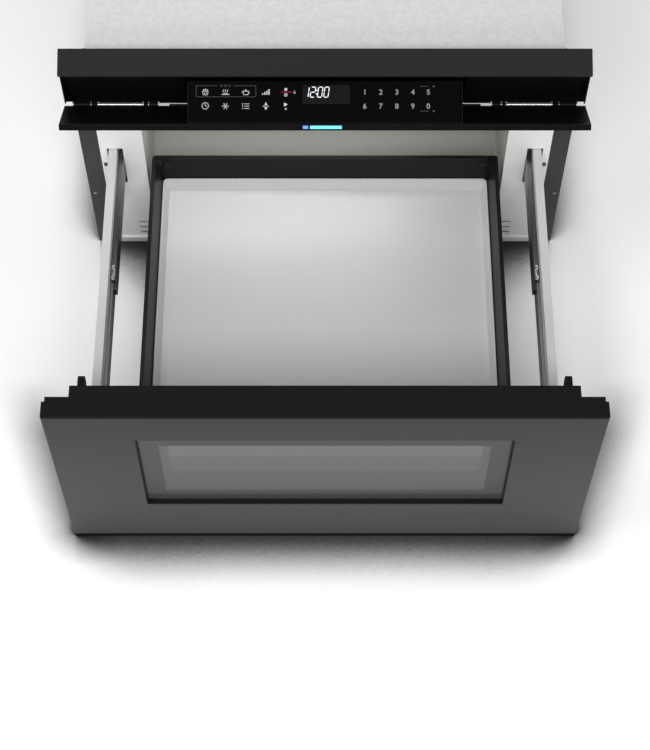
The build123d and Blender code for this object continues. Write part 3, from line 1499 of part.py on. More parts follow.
with BuildPart() as console_housing:
    with BuildSketch(flap_plane.offset(-console_half)):
        with BuildLine():
            Polyline(glass_low, glass_top, console_back, console_heel, (console_heel[0], 0), close=True)
        make_face()
    extrude(amount=2 * console_half)
    with BuildSketch(flap_plane.offset(-console_half + console_wall)):
        with BuildLine():
            low = on_wedge(glass_low_up + console_wall, -panel_glass_thickness)
            high = on_wedge(panel_glass_length - console_wall, -panel_glass_thickness)
            Polyline(
                (low[0] - console_wall, console_wall),
                (low[0] + outward[0], console_wall + outward[1]),
                (high[0] + outward[0], high[1] + outward[1]),
                (high[0] - console_wall, high[1] - console_wall),
                (console_back[0] + console_wall, console_back[1] - console_wall),
                (console_heel[0] + console_wall, console_heel[1] - console_wall / 2),
                (console_heel[0] + console_wall, console_wall),
                close=True,
            )
        make_face()
    extrude(amount=2 * (console_half - console_wall), mode=Mode.SUBTRACT)
console_housing.part.label = "console_housing"
export_step(console_housing.part, "parts/console_housing.step")

with BuildPart() as control_glass:
    with BuildSketch(glass_face):
        with Locations((0, (panel_glass_start + panel_glass_length) / 2)):
            Rectangle(panel_glass_width, panel_glass_length - panel_glass_start)
    extrude(amount=-panel_glass_thickness)
    fillet(control_glass.edges().group_by(Axis((0, 0, 0), glass_face.z_dir))[-1], panel_glass_round)
control_glass.part.label = "control_glass"
export_step(control_glass.part, "parts/control_glass.step")

display_left, display_right = -25.0, 28.0
display_low, display_high = 20.7, 42.0

with BuildPart() as display_module:
    with BuildSketch(glass_face.offset(-panel_glass_thickness)):
        with Locations(((display_left + display_right) / 2, (display_low + display_high) / 2)):
            Rectangle(display_right - display_left, display_high - display_low)
    extrude(amount=-(board_below - panel_glass_thickness))
display_module.part.label = "display_module"
export_step(display_module.part, "parts/display_module.step")

control_board_middle = 28.0         # up the glass
control_board_height = 30.0
control_board_inset = 7.0
board_rib_inset = 20.0      # ribs that hold the board off the glass
board_rib = (6.0, 20.0)
chip_side = 14.0
chip_height = 2.5
chip_x = 65.0

with BuildPart() as control_board:
    with BuildSketch(glass_face.offset(-board_below)):
        with Locations((0, control_board_middle)):
            Rectangle(panel_glass_width - 2 * control_board_inset, control_board_height)
    extrude(amount=-board_thickness)
    with BuildSketch(glass_face.offset(-board_below)):
        with Locations((0, control_board_middle)):
            with GridLocations(panel_glass_width - 2 * board_rib_inset, 1, 2, 1):
                Rectangle(*board_rib)
    extrude(amount=board_below - panel_glass_thickness)
    with BuildSketch(glass_face.offset(-board_below - board_thickness)):
        with Locations((-chip_x, control_board_middle), (chip_x, control_board_middle)):
            Rectangle(chip_side, chip_side)
    extrude(amount=-chip_height)
control_board.part.label = "control_board"
export_step(control_board.part, "parts/control_board.step")

flap_screw_up = 12.0
flap_screw_radius = 3.4
flap_screw_height = 1.6
flap_screw_round = 0.7
flap_screw_places = (half_door - 102.0, half_door - 30.5)

with BuildPart() as flap_screws:
    with BuildSketch(flap_face):
        for _, sign in sides:
            with Locations(*[(sign * x, -flap_screw_up) for x in flap_screw_places]):
                Circle(flap_screw_radius)
    extrude(amount=flap_screw_height)
    fillet(flap_screws.edges().group_by(Axis((0, 0, 0), flap_face.z_dir))[-1], flap_screw_round)
flap_screws.part.label = "flap_screws"
export_step(flap_screws.part, "parts/flap_screws.step")
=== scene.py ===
"""Looks of the microwave drawer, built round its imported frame."""

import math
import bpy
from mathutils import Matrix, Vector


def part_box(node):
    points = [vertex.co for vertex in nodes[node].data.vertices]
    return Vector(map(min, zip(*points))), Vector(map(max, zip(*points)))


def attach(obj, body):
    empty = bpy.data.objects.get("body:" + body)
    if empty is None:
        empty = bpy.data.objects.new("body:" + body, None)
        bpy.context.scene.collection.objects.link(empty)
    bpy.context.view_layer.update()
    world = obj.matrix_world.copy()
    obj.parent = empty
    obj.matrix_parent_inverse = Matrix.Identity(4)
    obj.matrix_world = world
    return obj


bl_info = {
    "name": "Microwave Drawer",
    "version": (1, 0, 0),
    "blender": (4, 5, 0),
    "location": "View3D > Sidebar > Microwave Drawer",
    "description": "Adds the finishes and fine pieces of a microwave drawer round its frame",
    "category": "Object",
}

import bmesh
import bpy
from bpy.props import FloatProperty, FloatVectorProperty, PointerProperty
from mathutils import Matrix, Vector

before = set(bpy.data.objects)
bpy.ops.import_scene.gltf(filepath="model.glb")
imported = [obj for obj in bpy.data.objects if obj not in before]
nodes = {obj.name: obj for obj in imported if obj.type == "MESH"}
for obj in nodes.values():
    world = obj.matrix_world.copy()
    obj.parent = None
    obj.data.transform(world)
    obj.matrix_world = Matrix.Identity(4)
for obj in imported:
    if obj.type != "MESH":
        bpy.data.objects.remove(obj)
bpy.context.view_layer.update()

MM = 0.001
TINY = 1e-6         # corners this near, in metres, are the same corner


def low(node):
    """Lowest corner of a frame node."""
    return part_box(node)[0]


def high(node):
    """Highest corner of a frame node."""
    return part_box(node)[1]


front_y = low("front_frame").y          # plane of the white front frame


# ---- settings


def colour(name, description, value):
    """A colour setting."""
    return FloatVectorProperty(
        name=name, description=description, subtype="COLOR", size=3, min=0.0, max=1.0, default=value
    )


def length(name, description, millimetres):
    """A length setting."""
    return FloatProperty(
        name=name, description=description, subtype="DISTANCE", unit="LENGTH", min=0.0,
        default=millimetres * MM,
    )


class DrawerFinish(bpy.types.PropertyGroup):
    """Colours of the drawer's surfaces."""

    dark_metal: colour(
        "Dark metal", "Black stainless face of the drawer and the flanges", (0.056, 0.056, 0.057)
    )
    trim: colour("Trim", "Satin black strip over the control panel", (0.022, 0.022, 0.0225))
    black: colour("Black", "Caps, flap and plastic parts", (0.008, 0.008, 0.0084))
    tray_wall: colour("Tray wall", "Dark wall panels round the tray", (0.014, 0.014, 0.0145))
    white: colour("White", "Powder coat of the front frame", (0.86, 0.86, 0.855))
    arm: colour("Arm", "Powder coat of the arms", (0.68, 0.68, 0.675))
    cavity: colour("Cavity", "Enamel inside the oven", (0.43, 0.434, 0.396))
    ceramic: colour("Ceramic", "Floor of the tray", (0.61, 0.61, 0.605))
    steel: colour("Steel", "Slides and screws", (0.22, 0.22, 0.223))
    zinc: colour("Zinc", "Galvanised case", (0.80, 0.81, 0.815))
    marks: colour("Marks", "Printed marks of the control panel", (0.62, 0.62, 0.62))
    stop_line: colour("Stop line", "Red line of the stop key", (0.30, 0.012, 0.02))
    digits: colour("Digits", "Lit digits of the display", (0.66, 0.69, 0.72))
    light_bar: colour("Light bar", "Lit bar in the panel's free edge", (0.13, 0.66, 0.82))
    status: colour("Status lens", "Lit lens beside the light bar", (0.10, 0.24, 0.70))


class DrawerSizes(bpy.types.PropertyGroup):
    """Sizes of the pieces added to the frame."""

    digit_height: length("Digit height", "Height of a number key's digit", 6.1)
    line_width: length("Line width", "Printed lines of the panel's signs", 0.62)
    print_height: length("Print height", "How far the print stands on the glass", 0.05)
    clock_height: length("Clock height", "Height of the display's digits", 11.5)
    rim_width: length("Rim width", "Raised rim round the flap", 3.0)
    rim_height: length("Rim height", "How far the rim stands on the flap", 1.5)
    dot_pitch: length("Dot pitch", "Between two dots of the ceramic floor", 6.6)


def finish():
    """The colours in use."""
    return bpy.context.scene.drawer_finish


def sizes():
    """The sizes in use."""
    return bpy.context.scene.drawer_sizes


# ---- materials


def toned(base, share):
    """A colour made lighter or darker."""
    return tuple(share * channel for channel in base)


class Nodes:
    """Nodes of one tree."""

    def __init__(self, tree):
        self.tree = tree

    def node(self, kind, **values):
        """New node, with its sockets set or linked by name."""
        node = self.tree.nodes.new(kind)
        for name, value in values.items():
            if hasattr(node, name) and name not in node.inputs:
                setattr(node, name, value)
            else:
                self.feed(node.inputs[name], value)
        return node

    def feed(self, socket, value):
        """Links a socket to an output, or sets its value."""
        if isinstance(value, bpy.types.NodeSocket):
            self.tree.links.new(value, socket)
        else:
            socket.default_value = value

    def math(self, operation, first, second=0.0, third=0.0):
        """Result of one step of arithmetic."""
        node = self.node("ShaderNodeMath", operation=operation)
        for socket, value in zip(node.inputs, (first, second, third)):
            self.feed(socket, value)
        return node.outputs[0]


class Shader(Nodes):
    """Node material with a principled shader and object coordinates."""

    def __init__(self, name, base, rough=0.5, metal=0.0, **sockets):
        self.material = bpy.data.materials.new(name)
        self.material.use_nodes = True
        super().__init__(self.material.node_tree)
        self.shader = self.tree.nodes["Principled BSDF"]
        sockets.update(Base_Color=(*base, 1.0), Roughness=rough, Metallic=metal)
        for socket, value in sockets.items():
            self.shader.inputs[socket.replace("_", " ")].default_value = value
        self.base = base
        self.coordinates = self.tree.nodes.new("ShaderNodeTexCoord").outputs["Object"]

    def noise(self, scale, detail=3.0, stretch=(1, 1, 1)):
        """Noise in real units, as a value; a stretch below one draws it out along that axis."""
        place = self.node("ShaderNodeMapping", Scale=stretch, Vector=self.coordinates)
        node = self.node("ShaderNodeTexNoise", Scale=scale, Detail=detail, Vector=place.outputs["Vector"])
        return node.outputs["Fac"]

    def ramp(self, value, *stops):
        """Colour ramp over a value; each stop is a position and a grey or a colour."""
        node = self.tree.nodes.new("ShaderNodeValToRGB")
        elements = node.color_ramp.elements
        while len(elements) < len(stops):
            elements.new(0.5)
        for element, (place, shade) in zip(elements, stops):
            element.position = place
            element.color = (*shade, 1.0) if isinstance(shade, tuple) else (shade, shade, shade, 1.0)
        self.tree.links.new(value, node.inputs["Fac"])
        return node.outputs["Color"]

    def tint(self, value, lighter):
        """Base colour that varies with a value, as far below the base as above it."""
        darker = toned(self.base, 2.0 - lighter)
        self.link(self.ramp(value, (0.3, darker), (0.7, toned(self.base, lighter))), "Base Color")

    def roughness(self, value, least, most):
        """Roughness that varies with a value."""
        self.link(self.ramp(value, (0.25, least), (0.75, most)), "Roughness")

    def bump(self, value, strength, distance):
        """Relief from a value."""
        node = self.node("ShaderNodeBump", Strength=strength, Distance=distance, Height=value)
        self.link(node.outputs["Normal"], "Normal")

    def blend(self, share, first, second, kind):
        """Mix of two colours."""
        node = self.node("ShaderNodeMix", data_type="RGBA", blend_type=kind)
        for socket, value in zip(MIX_COLOUR_SOCKETS, (share, first, second)):
            self.feed(node.inputs[socket], value)
        return node.outputs[MIX_COLOUR_RESULT]

    def product(self, first, second):
        """Two colours multiplied."""
        return self.blend(1.0, first, second, "MULTIPLY")

    def choose(self, share, first, second):
        """First colour where the share is nought, second where it is one."""
        return self.blend(share, first, second, "MIX")

    def link(self, output, socket):
        """Feeds a socket of the shader."""
        self.tree.links.new(output, self.shader.inputs[socket])


MIX_COLOUR_SOCKETS = (0, 6, 7)      # the mix node's factor and its two colours
MIX_COLOUR_RESULT = 2


def painted_metal(name, base, rough=0.38, gloss=0.5):
    """Satin paint over sheet: faint cloudiness and fine orange peel."""
    paint = Shader(name, base, rough, Specular_IOR_Level=gloss)
    paint.tint(paint.noise(6.0, 2.0), 1.04)
    paint.roughness(paint.noise(40.0, 2.0), rough - 0.04, rough + 0.05)
    paint.bump(paint.noise(700.0, 1.0), 0.06, 0.0003)
    return paint.material


def dark_steel(name, base, rough=0.36):
    """Black stainless steel, brushed from side to side, with painted light: lighter towards its foot and
    darker towards its head.
    """
    steel = Shader(name, base, rough, 0.06, Specular_IOR_Level=0.08)
    grain = steel.noise(1100.0, 2.0, (0.015, 1.0, 1.0))
    height = steel.node("ShaderNodeSeparateXYZ", Vector=steel.coordinates).outputs["Z"]
    # painted light and shade: the base colour is lifted at the foot and lowered at the head
    foot, head = (toned(base, share) for share in STEEL_PAINTED_LIGHT_SHARES)
    tone = steel.ramp(height, (0.0, foot), (STEEL_HEAD, head))
    steel.link(steel.product(tone, steel.ramp(grain, (0.3, 0.91), (0.7, 1.0))), "Base Color")
    steel.roughness(grain, rough - 0.05, rough + 0.07)
    steel.bump(grain, 0.05, 0.0002)
    return steel.material


# painted light: shares of the base colour that lighten the foot and shade the head
STEEL_PAINTED_LIGHT_SHARES = (1.6, 0.74)      # of the base colour, at the foot and at the head
STEEL_HEAD = 0.3                # height of the head over the floor, in metres


def moulded_plastic(name, base, rough=0.45, grain=0.12, gloss=0.5):
    """Moulded plastic with a fine spark-eroded grain."""
    plastic = Shader(name, base, rough, Specular_IOR_Level=gloss)
    plastic.tint(plastic.noise(25.0, 2.0), 1.08)
    plastic.roughness(plastic.noise(60.0, 3.0), rough - 0.05, rough + 0.08)
    plastic.bump(plastic.noise(1400.0, 2.0), grain, 0.0002)
    return plastic.material


def drawn_steel(name, base, rough=0.3, run=(1.0, 0.02, 1.0)):
    """Bright steel with drawing lines along its run and faint handling marks."""
    steel = Shader(name, base, rough, 1.0)
    lines = steel.noise(1100.0, 2.0, run)
    steel.tint(steel.noise(18.0, 4.0), 1.10)
    steel.roughness(lines, rough - 0.08, rough + 0.14)
    steel.bump(lines, 0.10, 0.0002)
    return steel.material


def galvanised(name, base):
    """Zinc-coated sheet with its crystal spangle."""
    zinc = Shader(name, base, 0.5, 0.15, Specular_IOR_Level=0.15)
    cells = zinc.node("ShaderNodeTexVoronoi", Scale=230.0, Vector=zinc.coordinates)
    value = zinc.node("ShaderNodeSeparateColor", Color=cells.outputs["Color"]).outputs["Red"]
    zinc.tint(value, 1.03)
    zinc.roughness(value, 0.46, 0.54)
    zinc.bump(zinc.noise(300.0, 2.0), 0.05, 0.0003)
    return zinc.material


def enamel(name, base):
    """Oven enamel: slight speckle and a soft gloss."""
    coat = Shader(name, base, 0.32)
    coat.tint(coat.noise(900.0, 1.0), 1.08)
    coat.roughness(coat.noise(30.0, 3.0), 0.26, 0.42)
    coat.bump(coat.noise(420.0, 2.0), 0.08, 0.0003)
    return coat.material


def glass(name, base, rough=0.06, gloss=0.5):
    """Dark or tinted glass seen as a glossy sheet, with faint smears."""
    pane = Shader(name, base, rough, Specular_IOR_Level=gloss)
    pane.roughness(pane.noise(9.0, 4.0), rough, rough + 0.05)
    return pane.material


def ceramic_floor(name, base):
    """Satin ceramic with the faint printed dot grid of the tray's floor."""
    pan = Shader(name, base, 0.38, Coat_Weight=0.1, Coat_Roughness=0.25)
    split = pan.node("ShaderNodeSeparateXYZ", Vector=pan.coordinates)
    waves = []
    for axis in ("X", "Y"):
        turns = pan.math("MULTIPLY", split.outputs[axis], 2 * math.pi / sizes().dot_pitch)
        waves.append(pan.math("COSINE", turns))
    dots = pan.ramp(pan.math("ADD", *waves), (0.82, 1.0), (1.0, 0.972))
    cloud = pan.ramp(pan.noise(7.0, 3.0), (0.3, 0.985), (0.7, 1.0))
    pan.link(pan.product(pan.product(dots, cloud), (*base, 1.0)), "Base Color")
    pan.bump(pan.noise(500.0, 2.0), 0.05, 0.0002)
    return pan.material


def lit(name, first, *bands):
    """Lens or sign lit from inside; a band is where another colour starts along X, and that colour."""
    lens = Shader(name, first, 0.25)
    glow = lens.noise(160.0, 1.0)
    shade = lens.ramp(glow, (0.3, toned(first, 0.9)), (0.7, first))
    split = lens.node("ShaderNodeSeparateXYZ", Vector=lens.coordinates)
    for start, base in bands:
        beyond = lens.math("GREATER_THAN", split.outputs["X"], start)
        other = lens.ramp(glow, (0.3, toned(base, 0.9)), (0.7, base))
        shade = lens.choose(beyond, shade, other)
    lens.link(shade, "Base Color")
    lens.link(shade, "Emission Color")
    lens.shader.inputs["Emission Strength"].default_value = 0.85
    return lens.material


def circuit_board(name, base):
    """Green laminate with a fine track pattern."""
    board = Shader(name, base, 0.35)
    tracks = board.node("ShaderNodeTexBrick", Scale=60.0, Vector=board.coordinates)
    green, pale = (0.02, 0.13, 0.05), (0.06, 0.24, 0.10)
    board.link(board.ramp(tracks.outputs["Fac"], (0.0, green), (1.0, pale)), "Base Color")
    board.bump(board.noise(500.0, 2.0), 0.1, 0.0003)
    return board.material


def copper_winding(name, base):
    """Enamelled copper wire, layer on layer."""
    wire = Shader(name, base, 0.3, 0.8)
    rounds = wire.node("ShaderNodeTexWave", Scale=330.0, bands_direction="Z", Vector=wire.coordinates)
    wire.tint(rounds.outputs["Fac"], 1.2)
    wire.bump(rounds.outputs["Fac"], 0.4, 0.0005)
    return wire.material


SCREEN_HOLES = 420.0        # holes to the metre


def perforated_screen(name, base):
    """Black sheet with the fine holes of the microwave screen."""
    sheet = Shader(name, base, 0.4, 0.4)
    holes = sheet.node("ShaderNodeTexVoronoi", Scale=SCREEN_HOLES, Randomness=0.0, Vector=sheet.coordinates)
    dark, rim = (0.004, 0.004, 0.004), (0.09, 0.09, 0.09)
    sheet.link(sheet.ramp(holes.outputs["Distance"], (0.25, dark), (0.32, rim)), "Base Color")
    return sheet.material


# where the first band of painted light turns into the second and the second into the third, over the floor,
# in metres
PAINTED_BAND_HEIGHTS = (0.1645, 0.1675, 0.2005, 0.2035)
PAINTED_BAND_ENDS = (0.1725, 0.1755)        # where the bands stop, from the middle, in metres


def window_print(name, clear):
    """The window's clear field: the screen shows through, under three bands of painted light and
    reflection, each lighter than the last.
    """
    field = Shader(name, clear, 0.09, Specular_IOR_Level=0.3)
    split = field.node("ShaderNodeSeparateXYZ", Vector=field.coordinates)
    # lighter copies of the clear tone: painted light, brighter towards the top
    middle, top = toned(clear, 1.2), toned(clear, 1.48)
    bands = field.ramp(split.outputs["Z"], *zip(PAINTED_BAND_HEIGHTS, (clear, middle, middle, top)))
    side = field.math("ABSOLUTE", split.outputs["X"])
    # beyond the ends of the painted bands the field keeps the plain clear tone
    edge = field.ramp(side, *zip(PAINTED_BAND_ENDS, (0.0, 1.0)))
    shade = field.choose(edge, bands, (*clear, 1.0))
    holes = field.node("ShaderNodeTexVoronoi", Scale=SCREEN_HOLES, Randomness=0.0, Vector=field.coordinates)
    mesh = field.ramp(holes.outputs["Distance"], (0.2, 0.94), (0.4, 1.0))
    field.link(field.product(shade, mesh), "Base Color")
    field.roughness(field.noise(9.0, 4.0), 0.07, 0.12)
    return field.material


NODE_FINISHES = {
    "dark_steel": ("front_panel", "mounting_flanges"),
    "trim_black": ("top_trim",),
    "housing_black": ("control_housing",),
    "flap_black": ("control_flap", "console_housing", "flap_screws"),
    "frame_black": ("door_frame", "tray_frame", "choke_frame"),
    "cap_black": ("top_cap", "bottom_trim", "latch_hooks"),
    "black_plastic": ("cord_bushing", "interlock_switches", "tray_base", "blower_wheel"),
    "white_coat": ("front_frame",),
    "arm_coat": ("arm_left", "arm_right"),
    "white_plastic": ("interlock_plunger_left", "interlock_plunger_right"),
    "zinc": (
        "base_pan", "case_wrap", "rear_panel", "waveguide", "rail_supports", "drive_unit", "antenna_motor",
        "blower_motor",
    ),
    "slide_steel": (
        "slide_outers", "slide_middle_left", "slide_middle_right", "slide_inner_left", "slide_inner_right",
    ),
    "screw_steel": ("cabinet_screws", "hinge_pins"),
    "screw_black": ("drawer_screws",),
    "aluminium": ("magnetron", "rotating_antenna", "capacitor"),
    "acetal": ("drive_rack", "drive_pinion", "motor_gear"),
    "grey_plastic": ("blower_housing",),
    "core_steel": ("transformer_core",),
    "copper": ("transformer_windings",),
    "board": ("power_board", "control_board"),
    "cavity_enamel": ("oven_cavity",),
    "mica": ("antenna_cover",),
    "lamp_glass": ("oven_lamp",),
    "panel_glass": ("control_glass",),
    "display_dark": ("display_module",),
    "window_glass": ("window_glass",),
    "inner_window": ("inner_glass",),
    "wall_glass": ("tray_walls",),
    "screen_sheet": ("window_screen",),
    "ceramic_floor": ("ceramic_tray",),
    "light_bar": ("indicator_lenses",),
}


def make_materials():
    """All the finishes, by name."""
    f = finish()
    recipes = {
        "dark_steel": (dark_steel, f.dark_metal),
        "trim_black": (painted_metal, f.trim, 0.55, 0.06),
        "housing_black": (painted_metal, toned(f.black, 0.3), 0.45, 0.1),
        "flap_black": (painted_metal, toned(f.black, 0.3), 0.45, 0.05),
        "frame_black": (painted_metal, toned(f.black, 0.7), 0.42, 0.2),
        "rim_black": (painted_metal, f.black, 0.4, 0.1),
        "cap_black": (painted_metal, toned(f.black, 0.9), 0.55, 0.06),
        "black_plastic": (moulded_plastic, f.black, 0.5, 0.12, 0.3),
        "white_coat": (painted_metal, f.white, 0.42),
        "arm_coat": (painted_metal, f.arm, 0.42),
        "white_plastic": (moulded_plastic, (0.7, 0.7, 0.68), 0.4),
        "zinc": (galvanised, f.zinc),
        "slide_steel": (drawn_steel, f.steel, 0.32),
        "screw_steel": (drawn_steel, (0.6, 0.6, 0.6), 0.25, (1, 1, 1)),
        "screw_black": (drawn_steel, (0.05, 0.05, 0.052), 0.4, (1, 1, 1)),
        "aluminium": (drawn_steel, (0.72, 0.72, 0.74), 0.35, (1, 1, 1)),
        "acetal": (moulded_plastic, (0.72, 0.69, 0.58), 0.4),
        "grey_plastic": (moulded_plastic, (0.2, 0.2, 0.205), 0.5),
        "core_steel": (drawn_steel, (0.13, 0.13, 0.135), 0.5, (1, 0.02, 1)),
        "copper": (copper_winding, (0.45, 0.17, 0.06)),
        "board": (circuit_board, (0.02, 0.12, 0.05)),
        "cavity_enamel": (enamel, f.cavity),
        "mica": (moulded_plastic, (0.5, 0.48, 0.42), 0.5),
        "lamp_glass": (glass, (0.8, 0.75, 0.6), 0.3),
        "panel_glass": (glass, (0.0015, 0.0015, 0.0017), 0.08, 0.03),
        "display_dark": (glass, (0.01, 0.01, 0.012), 0.15, 0.05),
        "display_field": (glass, (0.009, 0.009, 0.0095), 0.2, 0.04),
        "window_glass": (glass, (0.053, 0.053, 0.053), 0.09, 0.2),
        "window_print": (window_print, (0.087, 0.087, 0.087)),
        "inner_window": (glass, (0.03, 0.03, 0.031), 0.1),
        "wall_glass": (glass, f.tray_wall, 0.3, 0.08),
        "screen_sheet": (perforated_screen, (0.05, 0.05, 0.052)),
        "ceramic_floor": (ceramic_floor, f.ceramic),
        "light_bar": (lit, f.status, (LIGHT_BAR_START * MM, tuple(f.light_bar))),
        "key_print": (moulded_plastic, f.marks, 0.5, 0.05, 0.2),
        "number_print": (moulded_plastic, toned(f.marks, 0.5), 0.5, 0.05, 0.2),
        "faint_print": (moulded_plastic, toned(f.marks, 0.16), 0.5, 0.05, 0.2),
        "red_print": (moulded_plastic, f.stop_line, 0.5, 0.05, 0.2),
        "display_digits": (lit, f.digits),
        "detent_white": (moulded_plastic, (0.74, 0.74, 0.73), 0.35, 0.05),
    }
    return {name: make(name, tuple(base), *rest) for name, (make, base, *rest) in recipes.items()}


LIGHT_BAR_START = -18.2     # from the panel's middle; left of it stands the status lens
materials = {}


def dress(piece, material, body=None):
    """Gives a piece one material and, for a new piece, the body it rides on."""
    piece.data.materials.clear()
    piece.data.materials.append(materials[material])
    if body:
        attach(piece, body)
    return piece


# ---- modelling


def deselect():
    """Leaves nothing selected."""
    bpy.ops.object.select_all(action="DESELECT")


def pick(piece):
    """Selects one piece alone."""
    deselect()
    piece.select_set(True)
    bpy.context.view_layer.objects.active = piece


def settle(piece, name, place=None):
    """Names a piece and moves its place into its mesh."""
    piece.name = name
    piece.data.name = name
    if place is not None:
        piece.matrix_world = place @ piece.matrix_world
    pick(piece)
    bpy.ops.object.transform_apply(location=True, rotation=True, scale=True)
    return piece


def apply_modifier(piece, kind, **values):
    """Adds a modifier and applies it."""
    pick(piece)
    modifier = piece.modifiers.new(kind.title(), kind)
    for name, value in values.items():
        setattr(modifier, name, value)
    bpy.ops.object.modifier_apply(modifier=modifier.name)


def soften(piece, width, segments=2):
    """Rounds a piece's edges."""
    apply_modifier(piece, "BEVEL", width=width, segments=segments, limit_method="ANGLE")


def close_mesh():
    """Turns all faces outward and leaves edit mode."""
    bpy.ops.mesh.select_all(action="SELECT")
    bpy.ops.mesh.normals_make_consistent(inside=False)
    bpy.ops.object.mode_set(mode="OBJECT")


def select_where(piece, kind, test):
    """Selects, in edit mode, the faces or the corners that pass a test."""
    bpy.ops.mesh.select_mode(type=kind)
    bpy.ops.mesh.select_all(action="DESELECT")
    mesh = bmesh.from_edit_mesh(piece.data)
    for part in mesh.faces if kind == "FACE" else mesh.verts:
        if test(part):
            part.select_set(True)
    mesh.select_flush_mode()
    bmesh.update_edit_mesh(piece.data)


def mirrored(piece, name, material, body):
    """The same piece on the other side of the drawer, with its own mesh."""
    other = piece.copy()
    other.data = piece.data.copy()
    bpy.context.collection.objects.link(other)
    other.scale.x = -1.0
    settle(other, name)
    bpy.ops.object.mode_set(mode="EDIT")
    close_mesh()
    return dress(other, material, body)


def start_drawing():
    """Opens an empty mesh for flat shapes."""
    deselect()
    bpy.ops.mesh.primitive_plane_add(size=MM)
    bpy.ops.object.mode_set(mode="EDIT")
    bpy.ops.mesh.delete(type="VERT")


def bar(start, end, width, rounding=0.45):
    """Flat bar between two points given in millimetres, with rounded ends."""
    start, end = Vector((*start, 0.0)) * MM, Vector((*end, 0.0)) * MM
    middle, along = (start + end) / 2, end - start
    bpy.ops.mesh.select_all(action="DESELECT")
    bpy.ops.mesh.primitive_plane_add(size=1.0, location=middle)
    bpy.ops.transform.resize(value=(along.length, width * MM, 1.0), center_override=middle)
    turn = math.atan2(along.y, along.x)
    if turn:
        bpy.ops.transform.rotate(value=-turn, orient_axis="Z", center_override=middle)
    if rounding:
        offset = rounding * min(width * MM, along.length)
        bpy.ops.mesh.bevel(offset=offset, segments=2, affect="VERTICES")


def disc(centre, radius, corners=16, turn=0.0):
    """Flat disc, or a triangle with three corners."""
    bpy.ops.mesh.select_all(action="DESELECT")
    place = Vector((*centre, 0.0)) * MM
    bpy.ops.mesh.primitive_circle_add(
        vertices=corners, radius=radius * MM, fill_type="NGON", location=place, rotation=(0, 0, turn)
    )


def ring(centre, radius, width):
    """Flat ring."""
    disc(centre, radius, 28)
    bpy.ops.mesh.inset(thickness=width * MM)
    bpy.ops.mesh.delete(type="FACE")


def finish_drawing(name, height, sunk, place):
    """Gives the flat shapes their thickness and sets them in place."""
    bpy.ops.mesh.select_all(action="SELECT")
    bpy.ops.mesh.extrude_region_move(TRANSFORM_OT_translate={"value": (0, 0, height + sunk)})
    close_mesh()
    return settle(bpy.context.object, name, place @ Matrix.Translation((0, 0, -sunk)))


def slope_place(origin, up):
    """Place of a flat drawing: its X to the right, its Y along up."""
    right, up = Vector((1, 0, 0)), Vector(up).normalized()
    axes = Matrix((right, up, right.cross(up))).transposed().to_4x4()
    return Matrix.Translation(Vector(origin)) @ axes


LOOKS_UP = 0.5              # least upward part of such a face's normal
SAME_WAY = 0.999            # least product of two normals that point the same way


def top_slope(node):
    """Lower edge, upward direction and length of a node's largest face that looks up."""
    mesh = nodes[node].data
    faces = [face for face in mesh.polygons if face.normal.z > LOOKS_UP]
    normal = max(faces, key=lambda face: face.area).normal.copy()
    flat = [face for face in faces if face.normal.dot(normal) > SAME_WAY]
    corners = [mesh.vertices[index].co for face in flat for index in face.vertices]
    first = min(corners, key=lambda corner: corner.z)
    last = max(corners, key=lambda corner: corner.z)
    edge = Vector((0, first.y, first.z))
    up = Vector((0, last.y, last.z)) - edge
    return edge, up.normalized(), up.length


GLASS_EDGE = 4.4            # the glass's flat begins this far up the panel


def glass_place():
    """Place of a drawing on the touch glass, measured up the panel."""
    edge, up, _ = top_slope("control_glass")
    return slope_place(edge - up * GLASS_EDGE * MM, up)


# ---- the panel's print

# places on the touch glass in millimetres, from its middle and up the panel
UPPER_ROW, LOWER_ROW = 37.8, 21.7
NUMBER_PLACES = (45.3, 63.5, 81.7, 99.9, 117.5)
KEY_PLACES = (-136.2, -113.3, -90.1, -67.3, -44.6)
STOP_LINE = (-50.3, -37.8, 0.8)             # from, to and width
KEY_FRAME = (-146.6, -78.7, 32.4, 45.0)     # left, right, bottom and top
KEY_FRAME_GAP = 9.4                         # half the gap in its top line
KEY_FRAME_RINGS, RING_RADIUS = (-4.5, 0.0, 4.5), 1.3
DASH_ROWS = ((UPPER_ROW + 6.6, 0), (LOWER_ROW - 5.6, 180))      # height, and turn of the arrow
DASHES, DASH_HALF, ARROW = (-8.0, -4.6, -1.2), 1.2, 6.2         # from the last number
ARROW_RADIUS = 1.6
LOCK = -34.6
DISPLAY_FIELD = (-25.3, 28.2, 34.9, 21.8)   # from, to, middle and height
FIELD_PROUD, CLOCK_PROUD = 0.02, 0.06       # how far they stand on the glass
CLOCK_FOOT, CLOCK_LEAN, CLOCK_STROKE, CLOCK_WIDTH = 32.0, 0.14, 0.92, 0.43
COLON, COLON_DOT, COLON_HEIGHTS = -10.4, 0.75, (0.34, 0.68)     # the last as shares of a digit's


def draw_key(shapes, x, y, line):
    """One key's sign, from its bars, rings, discs and triangles."""
    for kind, across, up, *rest in shapes:
        place = (x + across, y + up)
        if kind == "bar":
            bar(place, (x + rest[0], y + rest[1]), rest[2] if rest[2:] else line)
        elif kind == "ring":
            ring(place, rest[0], line)
        elif kind == "disc":
            disc(place, rest[0])
        else:
            disc(place, rest[0], 3, math.radians(rest[1]))


def print_on_glass(name, material, height, sunk):
    """Makes the drawing a piece of print on the touch glass."""
    dress(finish_drawing(name, height, sunk, glass_place()), material, "control_panel")


